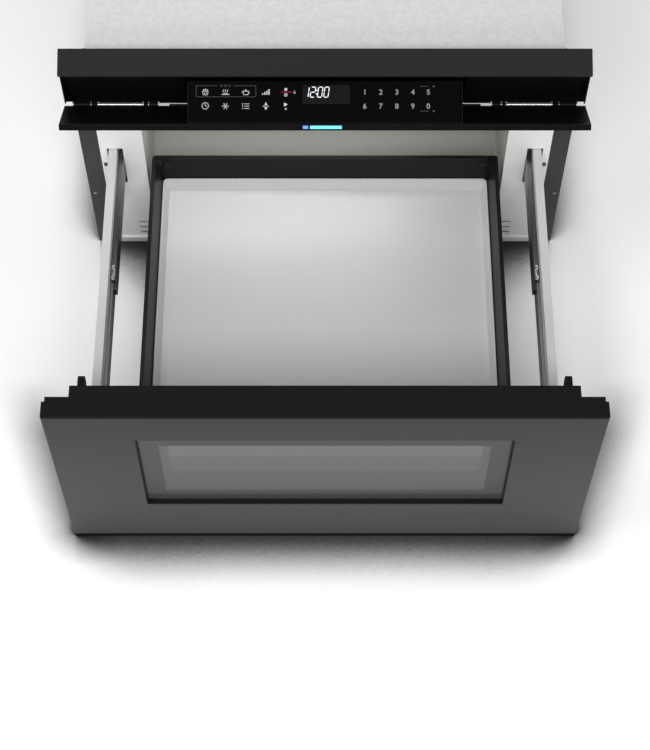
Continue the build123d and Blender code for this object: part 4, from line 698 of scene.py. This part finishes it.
UPPER_KEYS = (
    # a tub of grains
    (("bar", -2.3, -3.2, 2.3, -3.2), ("bar", -3.3, 0.8, -2.3, -3.2), ("bar", 3.3, 0.8, 2.3, -3.2),
     ("bar", -3.6, 0.8, 3.6, 0.8), ("disc", -2.1, 2.3, 0.8), ("disc", 0, 2.9, 0.9), ("disc", 2.1, 2.3, 0.8),
     ("bar", -1.0, -0.4, -0.8, -2.2), ("bar", 1.0, -0.4, 0.8, -2.2)),
    # heat over a plate
    (("bar", -4.6, -2.8, 4.6, -2.8), ("bar", -3.0, -1.6, 3.0, -1.6), ("bar", -2.9, -0.3, -1.9, 3.0),
     ("bar", -0.5, -0.3, 0.5, 3.0), ("bar", 1.9, -0.3, 2.9, 3.0)),
    # a pot with its lid
    (("bar", -2.7, -3.0, 2.7, -3.0), ("bar", -3.0, 0.6, -2.7, -3.0), ("bar", 3.0, 0.6, 2.7, -3.0),
     ("bar", -3.9, 1.0, 3.9, 1.0), ("disc", 0, 2.2, 0.8), ("bar", -4.6, -0.8, -3.2, -0.8),
     ("bar", 3.2, -0.8, 4.6, -0.8)),
    # rising levels
    (("bar", -3.6, -3.2, -3.6, -1.4, 1.3), ("bar", -1.2, -3.2, -1.2, 0.2, 1.3),
     ("bar", 1.2, -3.2, 1.2, 1.8, 1.3), ("bar", 3.6, -3.2, 3.6, 3.4, 1.3)),
    # a square over a crossed ring
    (("bar", -1.8, 3.0, 1.8, 3.0, 3.2), ("ring", 0, -3.3, 1.9), ("bar", -1.0, -4.3, 1.0, -2.3)),
)
LOWER_KEYS = (
    # a clock
    (("ring", 0, 0.3, 4.0), ("bar", 0, 0.3, 0, 3.0), ("bar", 0, 0.3, 2.0, -0.5)),
    # a flake of frost
    (("bar", -3.4, 0, 3.4, 0), ("bar", -1.7, -2.94, 1.7, 2.94), ("bar", -1.7, 2.94, 1.7, -2.94),
     ("disc", 0, 0, 0.9), ("disc", 3.4, 0, 0.5), ("disc", -3.4, 0, 0.5), ("disc", 1.7, 2.94, 0.5),
     ("disc", -1.7, -2.94, 0.5), ("disc", -1.7, 2.94, 0.5), ("disc", 1.7, -2.94, 0.5)),
    # a list
    (("bar", -1.8, 2.6, 4.2, 2.6), ("bar", -1.8, 0, 4.2, 0), ("bar", -1.8, -2.6, 4.2, -2.6),
     ("disc", -3.6, 2.6, 0.6), ("disc", -3.6, 0, 0.6), ("disc", -3.6, -2.6, 0.6)),
    # out and in
    (("triangle", 0, 2.4, 2.2, 0), ("bar", -3.6, 0, 3.6, 0), ("triangle", 0, -2.4, 2.2, 180)),
    # go, with a plus
    (("triangle", -0.6, 1.9, 2.8, -90), ("bar", -1.4, -3.3, 1.4, -3.3), ("bar", 0, -4.7, 0, -1.9)),
)
LOCK_SIGN = (("bar", -1.3, -0.9, 1.3, -0.9, 1.9), ("ring", 0, 0.6, 1.1))
# strokes of a lit digit, on a field one wide and two high
SEGMENTS = {
    "a": ((0, 2), (1, 2)), "b": ((1, 2), (1, 1)), "c": ((1, 1), (1, 0)), "d": ((0, 0), (1, 0)),
    "e": ((0, 0), (0, 1)), "f": ((0, 1), (0, 2)), "g": ((0, 1), (1, 1)),
}
STROKE_GAP = (0.1, 0.07)        # share of a stroke's length left free at each end, across and up
CLOCK = (("bc", -24.3), ("abged", -17.0), ("abcdef", -8.8), ("abcdef", -1.6))


# ---- operators


class DRAWER_OT_finishes(bpy.types.Operator):
    """Give every frame node its finish"""

    bl_idname = "drawer.finishes"
    bl_label = "Finish the Frame"

    def execute(self, context):
        materials.update(make_materials())
        for name, members in NODE_FINISHES.items():
            for node in members:
                dress(nodes[node], name)
        missing = set(nodes) - {node for members in NODE_FINISHES.values() for node in members}
        if missing:
            raise RuntimeError(f"no finish for {sorted(missing)}")
        return {"FINISHED"}


DIGIT_SHARE = 0.72          # a digit's height in the font, over the font's size
DIGIT_BOLD = 0.02           # added outline, over a digit's height


class DRAWER_OT_panel_print(bpy.types.Operator):
    """Print the signs, the numbers and the lines of the touch panel"""

    bl_idname = "drawer.panel_print"
    bl_label = "Panel Print"

    def execute(self, context):
        line = sizes().line_width / MM
        height = sizes().print_height
        sunk = 0.5 * height
        start_drawing()
        for row, keys in ((UPPER_ROW, UPPER_KEYS), (LOWER_ROW, LOWER_KEYS)):
            for x, shapes in zip(KEY_PLACES, keys):
                draw_key(shapes, x, row, line)
        print_on_glass("key_signs", "key_print", height, sunk)

        start_drawing()
        start, end, width = STOP_LINE
        bar((start, UPPER_ROW), (end, UPPER_ROW), width)
        print_on_glass("stop_line", "red_print", height, sunk)

        start_drawing()
        left, right, bottom, top = KEY_FRAME
        middle, gap = KEY_PLACES[1], KEY_FRAME_GAP
        for x0, y0, x1, y1 in (
            (left, bottom, right, bottom), (left, bottom, left, top), (right, bottom, right, top),
            (left, top, middle - gap, top), (middle + gap, top, right, top),
        ):
            bar((x0, y0), (x1, y1), 0.6 * line, 0.0)
        for step in KEY_FRAME_RINGS:
            ring((middle + step, top), RING_RADIUS, 0.5 * line)
        last = NUMBER_PLACES[-1]
        for y, turn in DASH_ROWS:
            for step in DASHES:
                bar((last + step - DASH_HALF, y), (last + step + DASH_HALF, y), 0.9 * line)
            disc((last + ARROW, y), ARROW_RADIUS, 3, math.radians(turn))
        print_on_glass("faint_lines", "faint_print", height, sunk)

        start_drawing()
        draw_key(LOCK_SIGN, LOCK, UPPER_ROW, 0.5 * line)
        print_on_glass("lock_sign", "number_print", height, sunk)

        rows = ((UPPER_ROW, "12345"), (LOWER_ROW, "67890"))
        digits = [self.digit(digit, x, y) for y, row in rows for x, digit in zip(NUMBER_PLACES, row)]
        for digit in digits:
            digit.select_set(True)
        bpy.ops.object.join()
        numbers = settle(context.object, "number_keys", glass_place() @ Matrix.Translation((0, 0, -sunk)))
        dress(numbers, "number_print", "control_panel")
        return {"FINISHED"}

    def digit(self, digit, x, y):
        """One number as a flat mesh, centred on its key."""
        deselect()
        bpy.ops.object.text_add()
        text = bpy.context.object
        text.data.body = digit
        text.data.size = sizes().digit_height / DIGIT_SHARE
        text.data.offset = DIGIT_BOLD * sizes().digit_height
        text.data.extrude = sizes().print_height
        text.data.resolution_u = 4
        bpy.ops.object.convert(target="MESH")
        piece = bpy.context.object
        bpy.ops.object.mode_set(mode="EDIT")
        bpy.ops.mesh.select_all(action="SELECT")
        bpy.ops.mesh.remove_doubles(threshold=TINY)
        bpy.ops.object.mode_set(mode="OBJECT")
        axes = zip(*(corner.co for corner in piece.data.vertices))
        middle = Vector((min(axis) + max(axis)) / 2 for axis in axes)
        return settle(piece, "digit", Matrix.Translation(Vector((x, y, 0)) * MM - middle))


class DRAWER_OT_display(bpy.types.Operator):
    """Add the display's field and its lit digits"""

    bl_idname = "drawer.display"
    bl_label = "Display"

    def execute(self, context):
        start_drawing()
        start, end, middle, height = DISPLAY_FIELD
        bar((start, middle), (end, middle), height, 0.04)
        print_on_glass("display_field", "display_field", FIELD_PROUD * MM, FIELD_PROUD * MM)
        start_drawing()
        tall = sizes().clock_height / MM
        for strokes, x in CLOCK:
            for name in strokes:
                ends = []
                (x0, y0), (x1, y1) = SEGMENTS[name]
                for a, b, other_a, other_b in ((x0, y0, x1, y1), (x1, y1, x0, y0)):
                    a += (other_a - a) * STROKE_GAP[0]
                    b += (other_b - b) * STROKE_GAP[1]
                    up = b * tall / 2
                    ends.append((x + a * CLOCK_WIDTH * tall + CLOCK_LEAN * up, CLOCK_FOOT + up))
                bar(*ends, CLOCK_STROKE, 0.35)
        for share in COLON_HEIGHTS:
            disc((COLON + CLOCK_LEAN * share * tall, CLOCK_FOOT + share * tall), COLON_DOT)
        print_on_glass("clock_digits", "display_digits", CLOCK_PROUD * MM, FIELD_PROUD * MM)
        return {"FINISHED"}


RIM_INSET, RIM_EDGE = 1.9, 0.1      # how far the rim stands inside the flap's ends and its free edge
RIM_RUN = 50.0                      # how far the rim's ends run down the flap
RIM_SUNK = 0.3


class DRAWER_OT_flap_rim(bpy.types.Operator):
    """Add the raised rim round the flap's free edge and ends"""

    bl_idname = "drawer.flap_rim"
    bl_label = "Flap Rim"

    def execute(self, context):
        hinge, up, run = top_slope("control_flap")
        width = sizes().rim_width
        half = high("control_flap").x / MM - RIM_INSET
        top, bottom = run / MM - RIM_EDGE, run / MM - RIM_RUN
        start_drawing()
        bar((-half, (top + bottom) / 2), (half, (top + bottom) / 2), top - bottom, 0.0)
        bpy.ops.mesh.inset(thickness=width)
        bpy.ops.mesh.delete(type="FACE")
        lowest = bottom * MM + width
        select_where(context.object, "FACE", lambda face: face.calc_center_median().y < lowest)
        bpy.ops.mesh.delete(type="FACE")
        piece = finish_drawing("flap_rim", sizes().rim_height, RIM_SUNK * MM, slope_place(hinge, up))
        soften(piece, 0.35 * MM)
        dress(piece, "rim_black", "control_panel")
        return {"FINISHED"}


WINDOW_FIELD = (115.0, 227.0, 183.2)        # bottom, top and half width
WINDOW_RECESS = (90.0, 253.5, 207.0)
WINDOW_FILM = 0.03                          # how far the field stands on the glass
# the black strip round the window's recess is painted shade: it darkens the recess's foot and sides
RECESS_SHADE_STRIP, RECESS_SHADE_STRIP_BACK = 0.9, 0.4              # thickness, and how far behind the panel's face


class DRAWER_OT_window_painted_light(bpy.types.Operator):
    """Add the clear field, with its bands of painted light, inside the window's printed border"""

    bl_idname = "drawer.window_print"
    bl_label = "Window Field"

    def execute(self, context):
        bottom, top, half = WINDOW_FIELD
        middle, film = (bottom + top) / 2, WINDOW_FILM * MM
        start_drawing()
        bar((-half, middle), (half, middle), top - bottom, 0.0)
        place = slope_place((0, low("window_glass").y, 0), (0, 0, 1))
        dress(finish_drawing("window_field", film, film, place), "window_print", "drawer")
        return {"FINISHED"}


class DRAWER_OT_window_recess_shade_strip(bpy.types.Operator):
    """Add the black strip round the window's recess, painted shade on its foot and sides"""

    bl_idname = "drawer.window_gasket"
    bl_label = "Window Recess Shade Strip"

    def execute(self, context):
        front, deepest = low("front_panel").y, low("window_glass").y
        bottom, top, half = (size * MM for size in WINDOW_RECESS)
        piece = block("window_gasket", (-half, front + RECESS_SHADE_STRIP_BACK * MM, bottom), (half, deepest, top))
        bpy.ops.object.mode_set(mode="EDIT")
        select_where(piece, "FACE", lambda face: abs(face.normal.y) > 0.5)
        bpy.ops.mesh.delete(type="FACE")
        select_where(piece, "FACE", lambda face: face.normal.z > 0.5)
        bpy.ops.mesh.delete(type="FACE")
        bpy.ops.object.mode_set(mode="OBJECT")
        apply_modifier(piece, "SOLIDIFY", thickness=RECESS_SHADE_STRIP * MM, offset=-1.0, use_even_offset=True)
        soften(piece, 0.15 * MM)
        dress(piece, "frame_black", "drawer")
        return {"FINISHED"}


HOUSING_LEAVES = ((158.0, 193.0), (212.0, 264.0))       # from and to across the panel
# the same, then from and to up from the hinge axis
FLAP_LEAVES = ((158.0, 181.5, -2.8, 4.1), (212.0, 264.0, 1.9, 4.1))
SLIT_BEHIND, SLIT_OVER = 6.4, 2.8       # the slit, behind the housing's front and over the pins' foot
LEAF_DEPTH, LEAF_LAP = 2.2, 1.0         # a housing leaf, before and behind the slit's rear edge
HOUSING_LEAF, FLAP_LEAF = 0.7, 0.8      # thickness
LEAF_EDGE = 0.25


class DRAWER_OT_hinge_leaves(bpy.types.Operator):
    """Add the leaves that cover most of the slit between the housing and the flap"""

    bl_idname = "drawer.hinge_leaves"
    bl_label = "Hinge Leaves"

    def execute(self, context):
        slit = low("control_housing").y + SLIT_BEHIND * MM
        floor = low("hinge_pins").z + SLIT_OVER * MM
        axis_y = (low("hinge_pins").y + high("hinge_pins").y) / 2
        for start, end in HOUSING_LEAVES:
            name = f"housing_leaf_{start:.0f}"
            piece = block(name + "_right", (start * MM, slit - LEAF_DEPTH * MM, floor),
                          (end * MM, slit + LEAF_LAP * MM, floor + HOUSING_LEAF * MM))
            soften(piece, LEAF_EDGE * MM)
            dress(piece, "housing_black", "cabinet")
            mirrored(piece, name + "_left", "housing_black", "cabinet")
        edge, up, _ = top_slope("control_flap")
        start_drawing()
        for start, end, reach, rest in FLAP_LEAVES:
            bar((start, (reach + rest) / 2), (end, (reach + rest) / 2), rest - reach, 0.0)
        place = slope_place((0, axis_y, edge.z), up)
        piece = finish_drawing("flap_leaf_right", 0.0, FLAP_LEAF * MM, place)
        soften(piece, LEAF_EDGE * MM)
        dress(piece, "housing_black", "control_panel")
        mirrored(piece, "flap_leaf_left", "housing_black", "control_panel")
        return {"FINISHED"}


def block(name, low_corner, high_corner):
    """Box between two corners."""
    low_corner, high_corner = Vector(low_corner), Vector(high_corner)
    deselect()
    middle = (low_corner + high_corner) / 2
    bpy.ops.mesh.primitive_cube_add(size=1.0, location=middle)
    piece = bpy.context.object
    bpy.ops.object.mode_set(mode="EDIT")
    bpy.ops.transform.resize(value=high_corner - low_corner, center_override=middle)
    bpy.ops.object.mode_set(mode="OBJECT")
    return settle(piece, name)


# the detent in plan, in from the slide's outer side and back from its front end
DETENT_LINE = (
    (3.6, 19.5), (1.0, 18.2), (0.8, 15.5), (3.4, 13.8), (3.2, 5.2), (1.0, 3.4), (1.2, 0.9), (3.4, 0.6)
)
DETENT_FOOT, DETENT_TOP, DETENT_SHEET = 188.8, 191.2, 0.9       # heights, and thickness


class DRAWER_OT_slide_detents(bpy.types.Operator):
    """Add the sprung detent at the front end of each middle slide"""

    bl_idname = "drawer.slide_detents"
    bl_label = "Slide Detents"

    def execute(self, context):
        corner = low("slide_middle_left")
        points = [(corner.x + across * MM, corner.y + along * MM) for across, along in DETENT_LINE]
        piece = ribbon("slide_detent_left", points, DETENT_FOOT * MM, DETENT_TOP * MM, DETENT_SHEET * MM)
        dress(piece, "detent_white", "middle_slide_left")
        mirrored(piece, "slide_detent_right", "detent_white", "middle_slide_right")
        return {"FINISHED"}


def ribbon(name, points, bottom, top, thickness):
    """Strip that stands on edge and follows points in plan."""
    deselect()
    bpy.ops.mesh.primitive_plane_add(size=MM)
    piece = bpy.context.object
    bpy.ops.object.mode_set(mode="EDIT")
    mesh = bmesh.from_edit_mesh(piece.data)
    corners = ((points[0], bottom), (points[1], bottom), (points[1], top), (points[0], top))
    for vertex, (point, level) in zip(mesh.faces[:][0].verts, corners):
        vertex.co = (*point, level)
    bmesh.update_edit_mesh(piece.data)
    for (x0, y0), (x1, y1) in zip(points[1:], points[2:]):
        end = Vector((x0, y0))
        select_where(piece, "VERT", lambda corner: (corner.co.xy - end).length < TINY)
        bpy.ops.mesh.extrude_region_move(TRANSFORM_OT_translate={"value": (x1 - x0, y1 - y0, 0)})
    close_mesh()
    apply_modifier(piece, "SOLIDIFY", thickness=thickness, offset=0.0)
    soften(piece, 0.25 * thickness)
    return settle(piece, name)


LIP_FOOT, LIP_TOP, LIP_HALF = 0.6, 13.4, 270.0
LIP_PROUD, LIP_SUNK = 2.7, 0.3          # before the frame's face, and into it
LIP_LEAN = 1.92                         # how far its front foot stands back, so that it looks downward


class DRAWER_OT_frame_lip(bpy.types.Operator):
    """Add the rolled lip along the foot of the white frame"""

    bl_idname = "drawer.frame_lip"
    bl_label = "Frame Lip"

    def execute(self, context):
        front, back = front_y - LIP_PROUD * MM, front_y + LIP_SUNK * MM
        bottom, top, half = (size * MM for size in (LIP_FOOT, LIP_TOP, LIP_HALF))
        piece = block("frame_lip", (-half, front, bottom), (half, back, top))
        bpy.ops.object.mode_set(mode="EDIT")
        select_where(
            piece, "VERT", lambda corner: corner.co.y < front_y and corner.co.z < (bottom + top) / 2
        )
        bpy.ops.transform.translate(value=(0, LIP_LEAN * MM, 0))
        bpy.ops.object.mode_set(mode="OBJECT")
        soften(piece, 0.5 * MM, 3)
        dress(piece, "white_coat", "cabinet")
        return {"FINISHED"}


PHOTO_HEIGHT = 750          # in pixels
CAMERA_PIXELS = 1797.6      # focal length in the photograph's pixels
SENSOR = 36.0               # in millimetres
CAMERA_DOWN = 60.9          # degrees below the horizontal
CAMERA_BEFORE = 1.3129      # in front of the flange plane, in metres
CAMERA_HEIGHT = 1.9941
FLOOR_SIZE, FLOOR_LEVEL = 12.0, -0.0005
WHITE = (1.0, 1.0, 1.0, 1.0)
WORLD_STRENGTH = 0.30       # of the white round the object, as a light
# name, size, place, what it points at, and power
STUDIO_LAMPS = (
    ("top_lamp", (0.9, 0.5), (-0.9, -0.75, 2.2), (0, -0.35, 0.1), 9.0),
    ("front_lamp", (1.8, 0.7), (0.0, -2.75, 1.35), (0, -0.3, 0.1), 22.0),
    ("camera_lamp", (1.4, 0.6), (0.0, -2.0, 2.12), (0, -0.35, 0.1), 25.0),
    ("flap_light", (0.20, 0.02), (0.0, -0.300, 0.303), (0, -0.34, 0.1), 0.05),
    ("oven_light", (0.34, 0.05), (-0.06, -0.235, 0.282), (-0.05, -0.34, 0.1), 0.42),
)


class DRAWER_OT_stage(bpy.types.Operator):
    """Add the floor, the lights and the camera"""

    bl_idname = "drawer.stage"
    bl_label = "Stage"

    def execute(self, context):
        scene = context.scene
        bpy.ops.mesh.primitive_plane_add(size=FLOOR_SIZE, location=(0, 0, FLOOR_LEVEL))
        floor = context.object
        floor.name = "studio_floor"
        floor.data.materials.append(floor_material())
        for name, size, place, aim, watts in STUDIO_LAMPS:
            bpy.ops.object.light_add(type="AREA", location=place)
            lamp = context.object
            lamp.name = name
            lamp.data.shape = "RECTANGLE"
            lamp.data.size, lamp.data.size_y = size
            lamp.data.energy = watts
            lamp.rotation_euler = (Vector(aim) - Vector(place)).to_track_quat("-Z", "Y").to_euler()
        scene.world = studio_world()
        place = (0.0, front_y - CAMERA_BEFORE, CAMERA_HEIGHT)
        bpy.ops.object.camera_add(location=place, rotation=(math.radians(90 - CAMERA_DOWN), 0, 0))
        camera = context.object
        camera.data.sensor_width = SENSOR
        camera.data.lens = CAMERA_PIXELS * SENSOR / PHOTO_HEIGHT
        scene.camera = camera
        scene.view_settings.view_transform = "Standard"
        return {"FINISHED"}


def studio_world():
    """White studio: full strength where it is seen, less where it lights."""
    world = bpy.data.worlds.new("studio_world")
    world.use_nodes = True
    sky = Nodes(world.node_tree)
    ray = sky.node("ShaderNodeLightPath").outputs
    seen = ray["Is Camera Ray"]
    for kind in ("Is Glossy Ray", "Is Transmission Ray"):
        seen = sky.math("MAXIMUM", seen, ray[kind])
    background = sky.tree.nodes["Background"].inputs
    strength = sky.math("MULTIPLY_ADD", seen, 1.0 - WORLD_STRENGTH, WORLD_STRENGTH)
    sky.feed(background["Strength"], strength)
    background["Color"].default_value = WHITE
    return world


# painted shadow on the floor: its colour darkens round the object and in a band beside the open drawer
# front
SHADOW_REACH = 0.14         # in metres, like the places below
# stops of a value and the floor's tone there: what is left of the open sky over the floor,
SHADOW_TONES = ((0.45, 0.02), (0.55, 0.05), (0.63, 0.21), (0.68, 0.48), (0.77, 0.87), (0.88, 0.98))
# the way out from the end of the drawer front,
SHADOW_BAND_TONES = ((0.0, 1.0), (0.04, 0.45), (0.06, 0.3), (0.078, 0.56), (0.105, 0.93), (0.12, 1.0))
SHADOW_BAND_INSIDE = 0.06          # that way begins this far inside the end
# and the way back from the drawer front, where one is the whole band and nought is none of it
SHADOW_BAND_RUN = ((0.01, 0.0), (0.05, 1.0), (0.19, 1.0), (0.27, 0.0))
SHADOW_BAND_BEFORE = 0.05          # that way begins this far before the drawer front
SHADOW_BAND_SLANT = 0.342          # how far the band spreads as it runs back
STANDING = ((0.93, 1.0), (0.99, 0.0))       # no band where nothing stands near
FLOOR_GLOW = 0.2


def floor_material():
    """Pale floor with painted shadow: darker round the object and in a soft band of painted shadow beside
    the open drawer front.
    """
    floor = Shader("studio_floor", (0.95, 0.95, 0.95), 0.9, Specular_IOR_Level=0.0)
    near = floor.node("ShaderNodeAmbientOcclusion", samples=16, Distance=SHADOW_REACH)
    shade = floor.ramp(near.outputs["AO"], *SHADOW_TONES)
    place = floor.node("ShaderNodeSeparateXYZ", Vector=floor.coordinates)
    # a band of painted shadow that slants out beside the open drawer front
    behind = floor.math("SUBTRACT", place.outputs["Y"], low("front_panel").y)
    edge = floor.math("MULTIPLY_ADD", behind, SHADOW_BAND_SLANT, high("front_panel").x)
    beside = floor.math("SUBTRACT", floor.math("ABSOLUTE", place.outputs["X"]), edge)
    band = floor.ramp(floor.math("ADD", beside, SHADOW_BAND_INSIDE), *SHADOW_BAND_TONES)
    stretch = floor.ramp(floor.math("ADD", behind, SHADOW_BAND_BEFORE), *SHADOW_BAND_RUN)
    around = floor.node("ShaderNodeAmbientOcclusion", samples=8, Distance=2.0 * SHADOW_REACH)
    stretch = floor.math("MULTIPLY", stretch, floor.ramp(around.outputs["AO"], *STANDING))
    shade = floor.product(shade, floor.choose(stretch, WHITE, band))
    shade = floor.product(shade, floor.ramp(floor.noise(3.0, 2.0), (0.3, 0.99), (0.7, 1.0)))
    floor.link(shade, "Base Color")
    floor.link(shade, "Emission Color")
    seen = floor.node("ShaderNodeLightPath").outputs["Is Camera Ray"]
    floor.link(floor.math("MULTIPLY", seen, FLOOR_GLOW), "Emission Strength")
    return floor.material


class DRAWER_PT_panel(bpy.types.Panel):
    """Buttons for the microwave drawer's pieces"""

    bl_label = "Microwave Drawer"
    bl_idname = "DRAWER_PT_panel"
    bl_space_type = "VIEW_3D"
    bl_region_type = "UI"
    bl_category = "Microwave Drawer"

    def draw(self, context):
        for group in (context.scene.drawer_finish, context.scene.drawer_sizes):
            box = self.layout.box()
            for name in group.bl_rna.properties.keys():
                if name not in ("rna_type", "name"):
                    box.prop(group, name)
        for operator in OPERATORS:
            self.layout.operator(operator.bl_idname)


OPERATORS = (
    DRAWER_OT_finishes, DRAWER_OT_panel_print, DRAWER_OT_display, DRAWER_OT_flap_rim,
    DRAWER_OT_window_painted_light, DRAWER_OT_window_recess_shade_strip, DRAWER_OT_hinge_leaves, DRAWER_OT_slide_detents,
    DRAWER_OT_frame_lip, DRAWER_OT_stage,
)
CLASSES = (DrawerFinish, DrawerSizes, *OPERATORS, DRAWER_PT_panel)


def register():
    """Registers the classes and their settings."""
    for cls in CLASSES:
        bpy.utils.register_class(cls)
    bpy.types.Scene.drawer_finish = PointerProperty(type=DrawerFinish)
    bpy.types.Scene.drawer_sizes = PointerProperty(type=DrawerSizes)


def unregister():
    """Removes them again."""
    del bpy.types.Scene.drawer_sizes
    del bpy.types.Scene.drawer_finish
    for cls in reversed(CLASSES):
        bpy.utils.unregister_class(cls)


def main():
    """Builds the whole scene."""
    register()
    bpy.ops.drawer.finishes()
    bpy.ops.drawer.panel_print()
    bpy.ops.drawer.display()
    bpy.ops.drawer.flap_rim()
    bpy.ops.drawer.window_print()
    bpy.ops.drawer.window_gasket()
    bpy.ops.drawer.hinge_leaves()
    bpy.ops.drawer.slide_detents()
    bpy.ops.drawer.frame_lip()
    bpy.ops.drawer.stage()


if __name__ == "__main__":
    main()
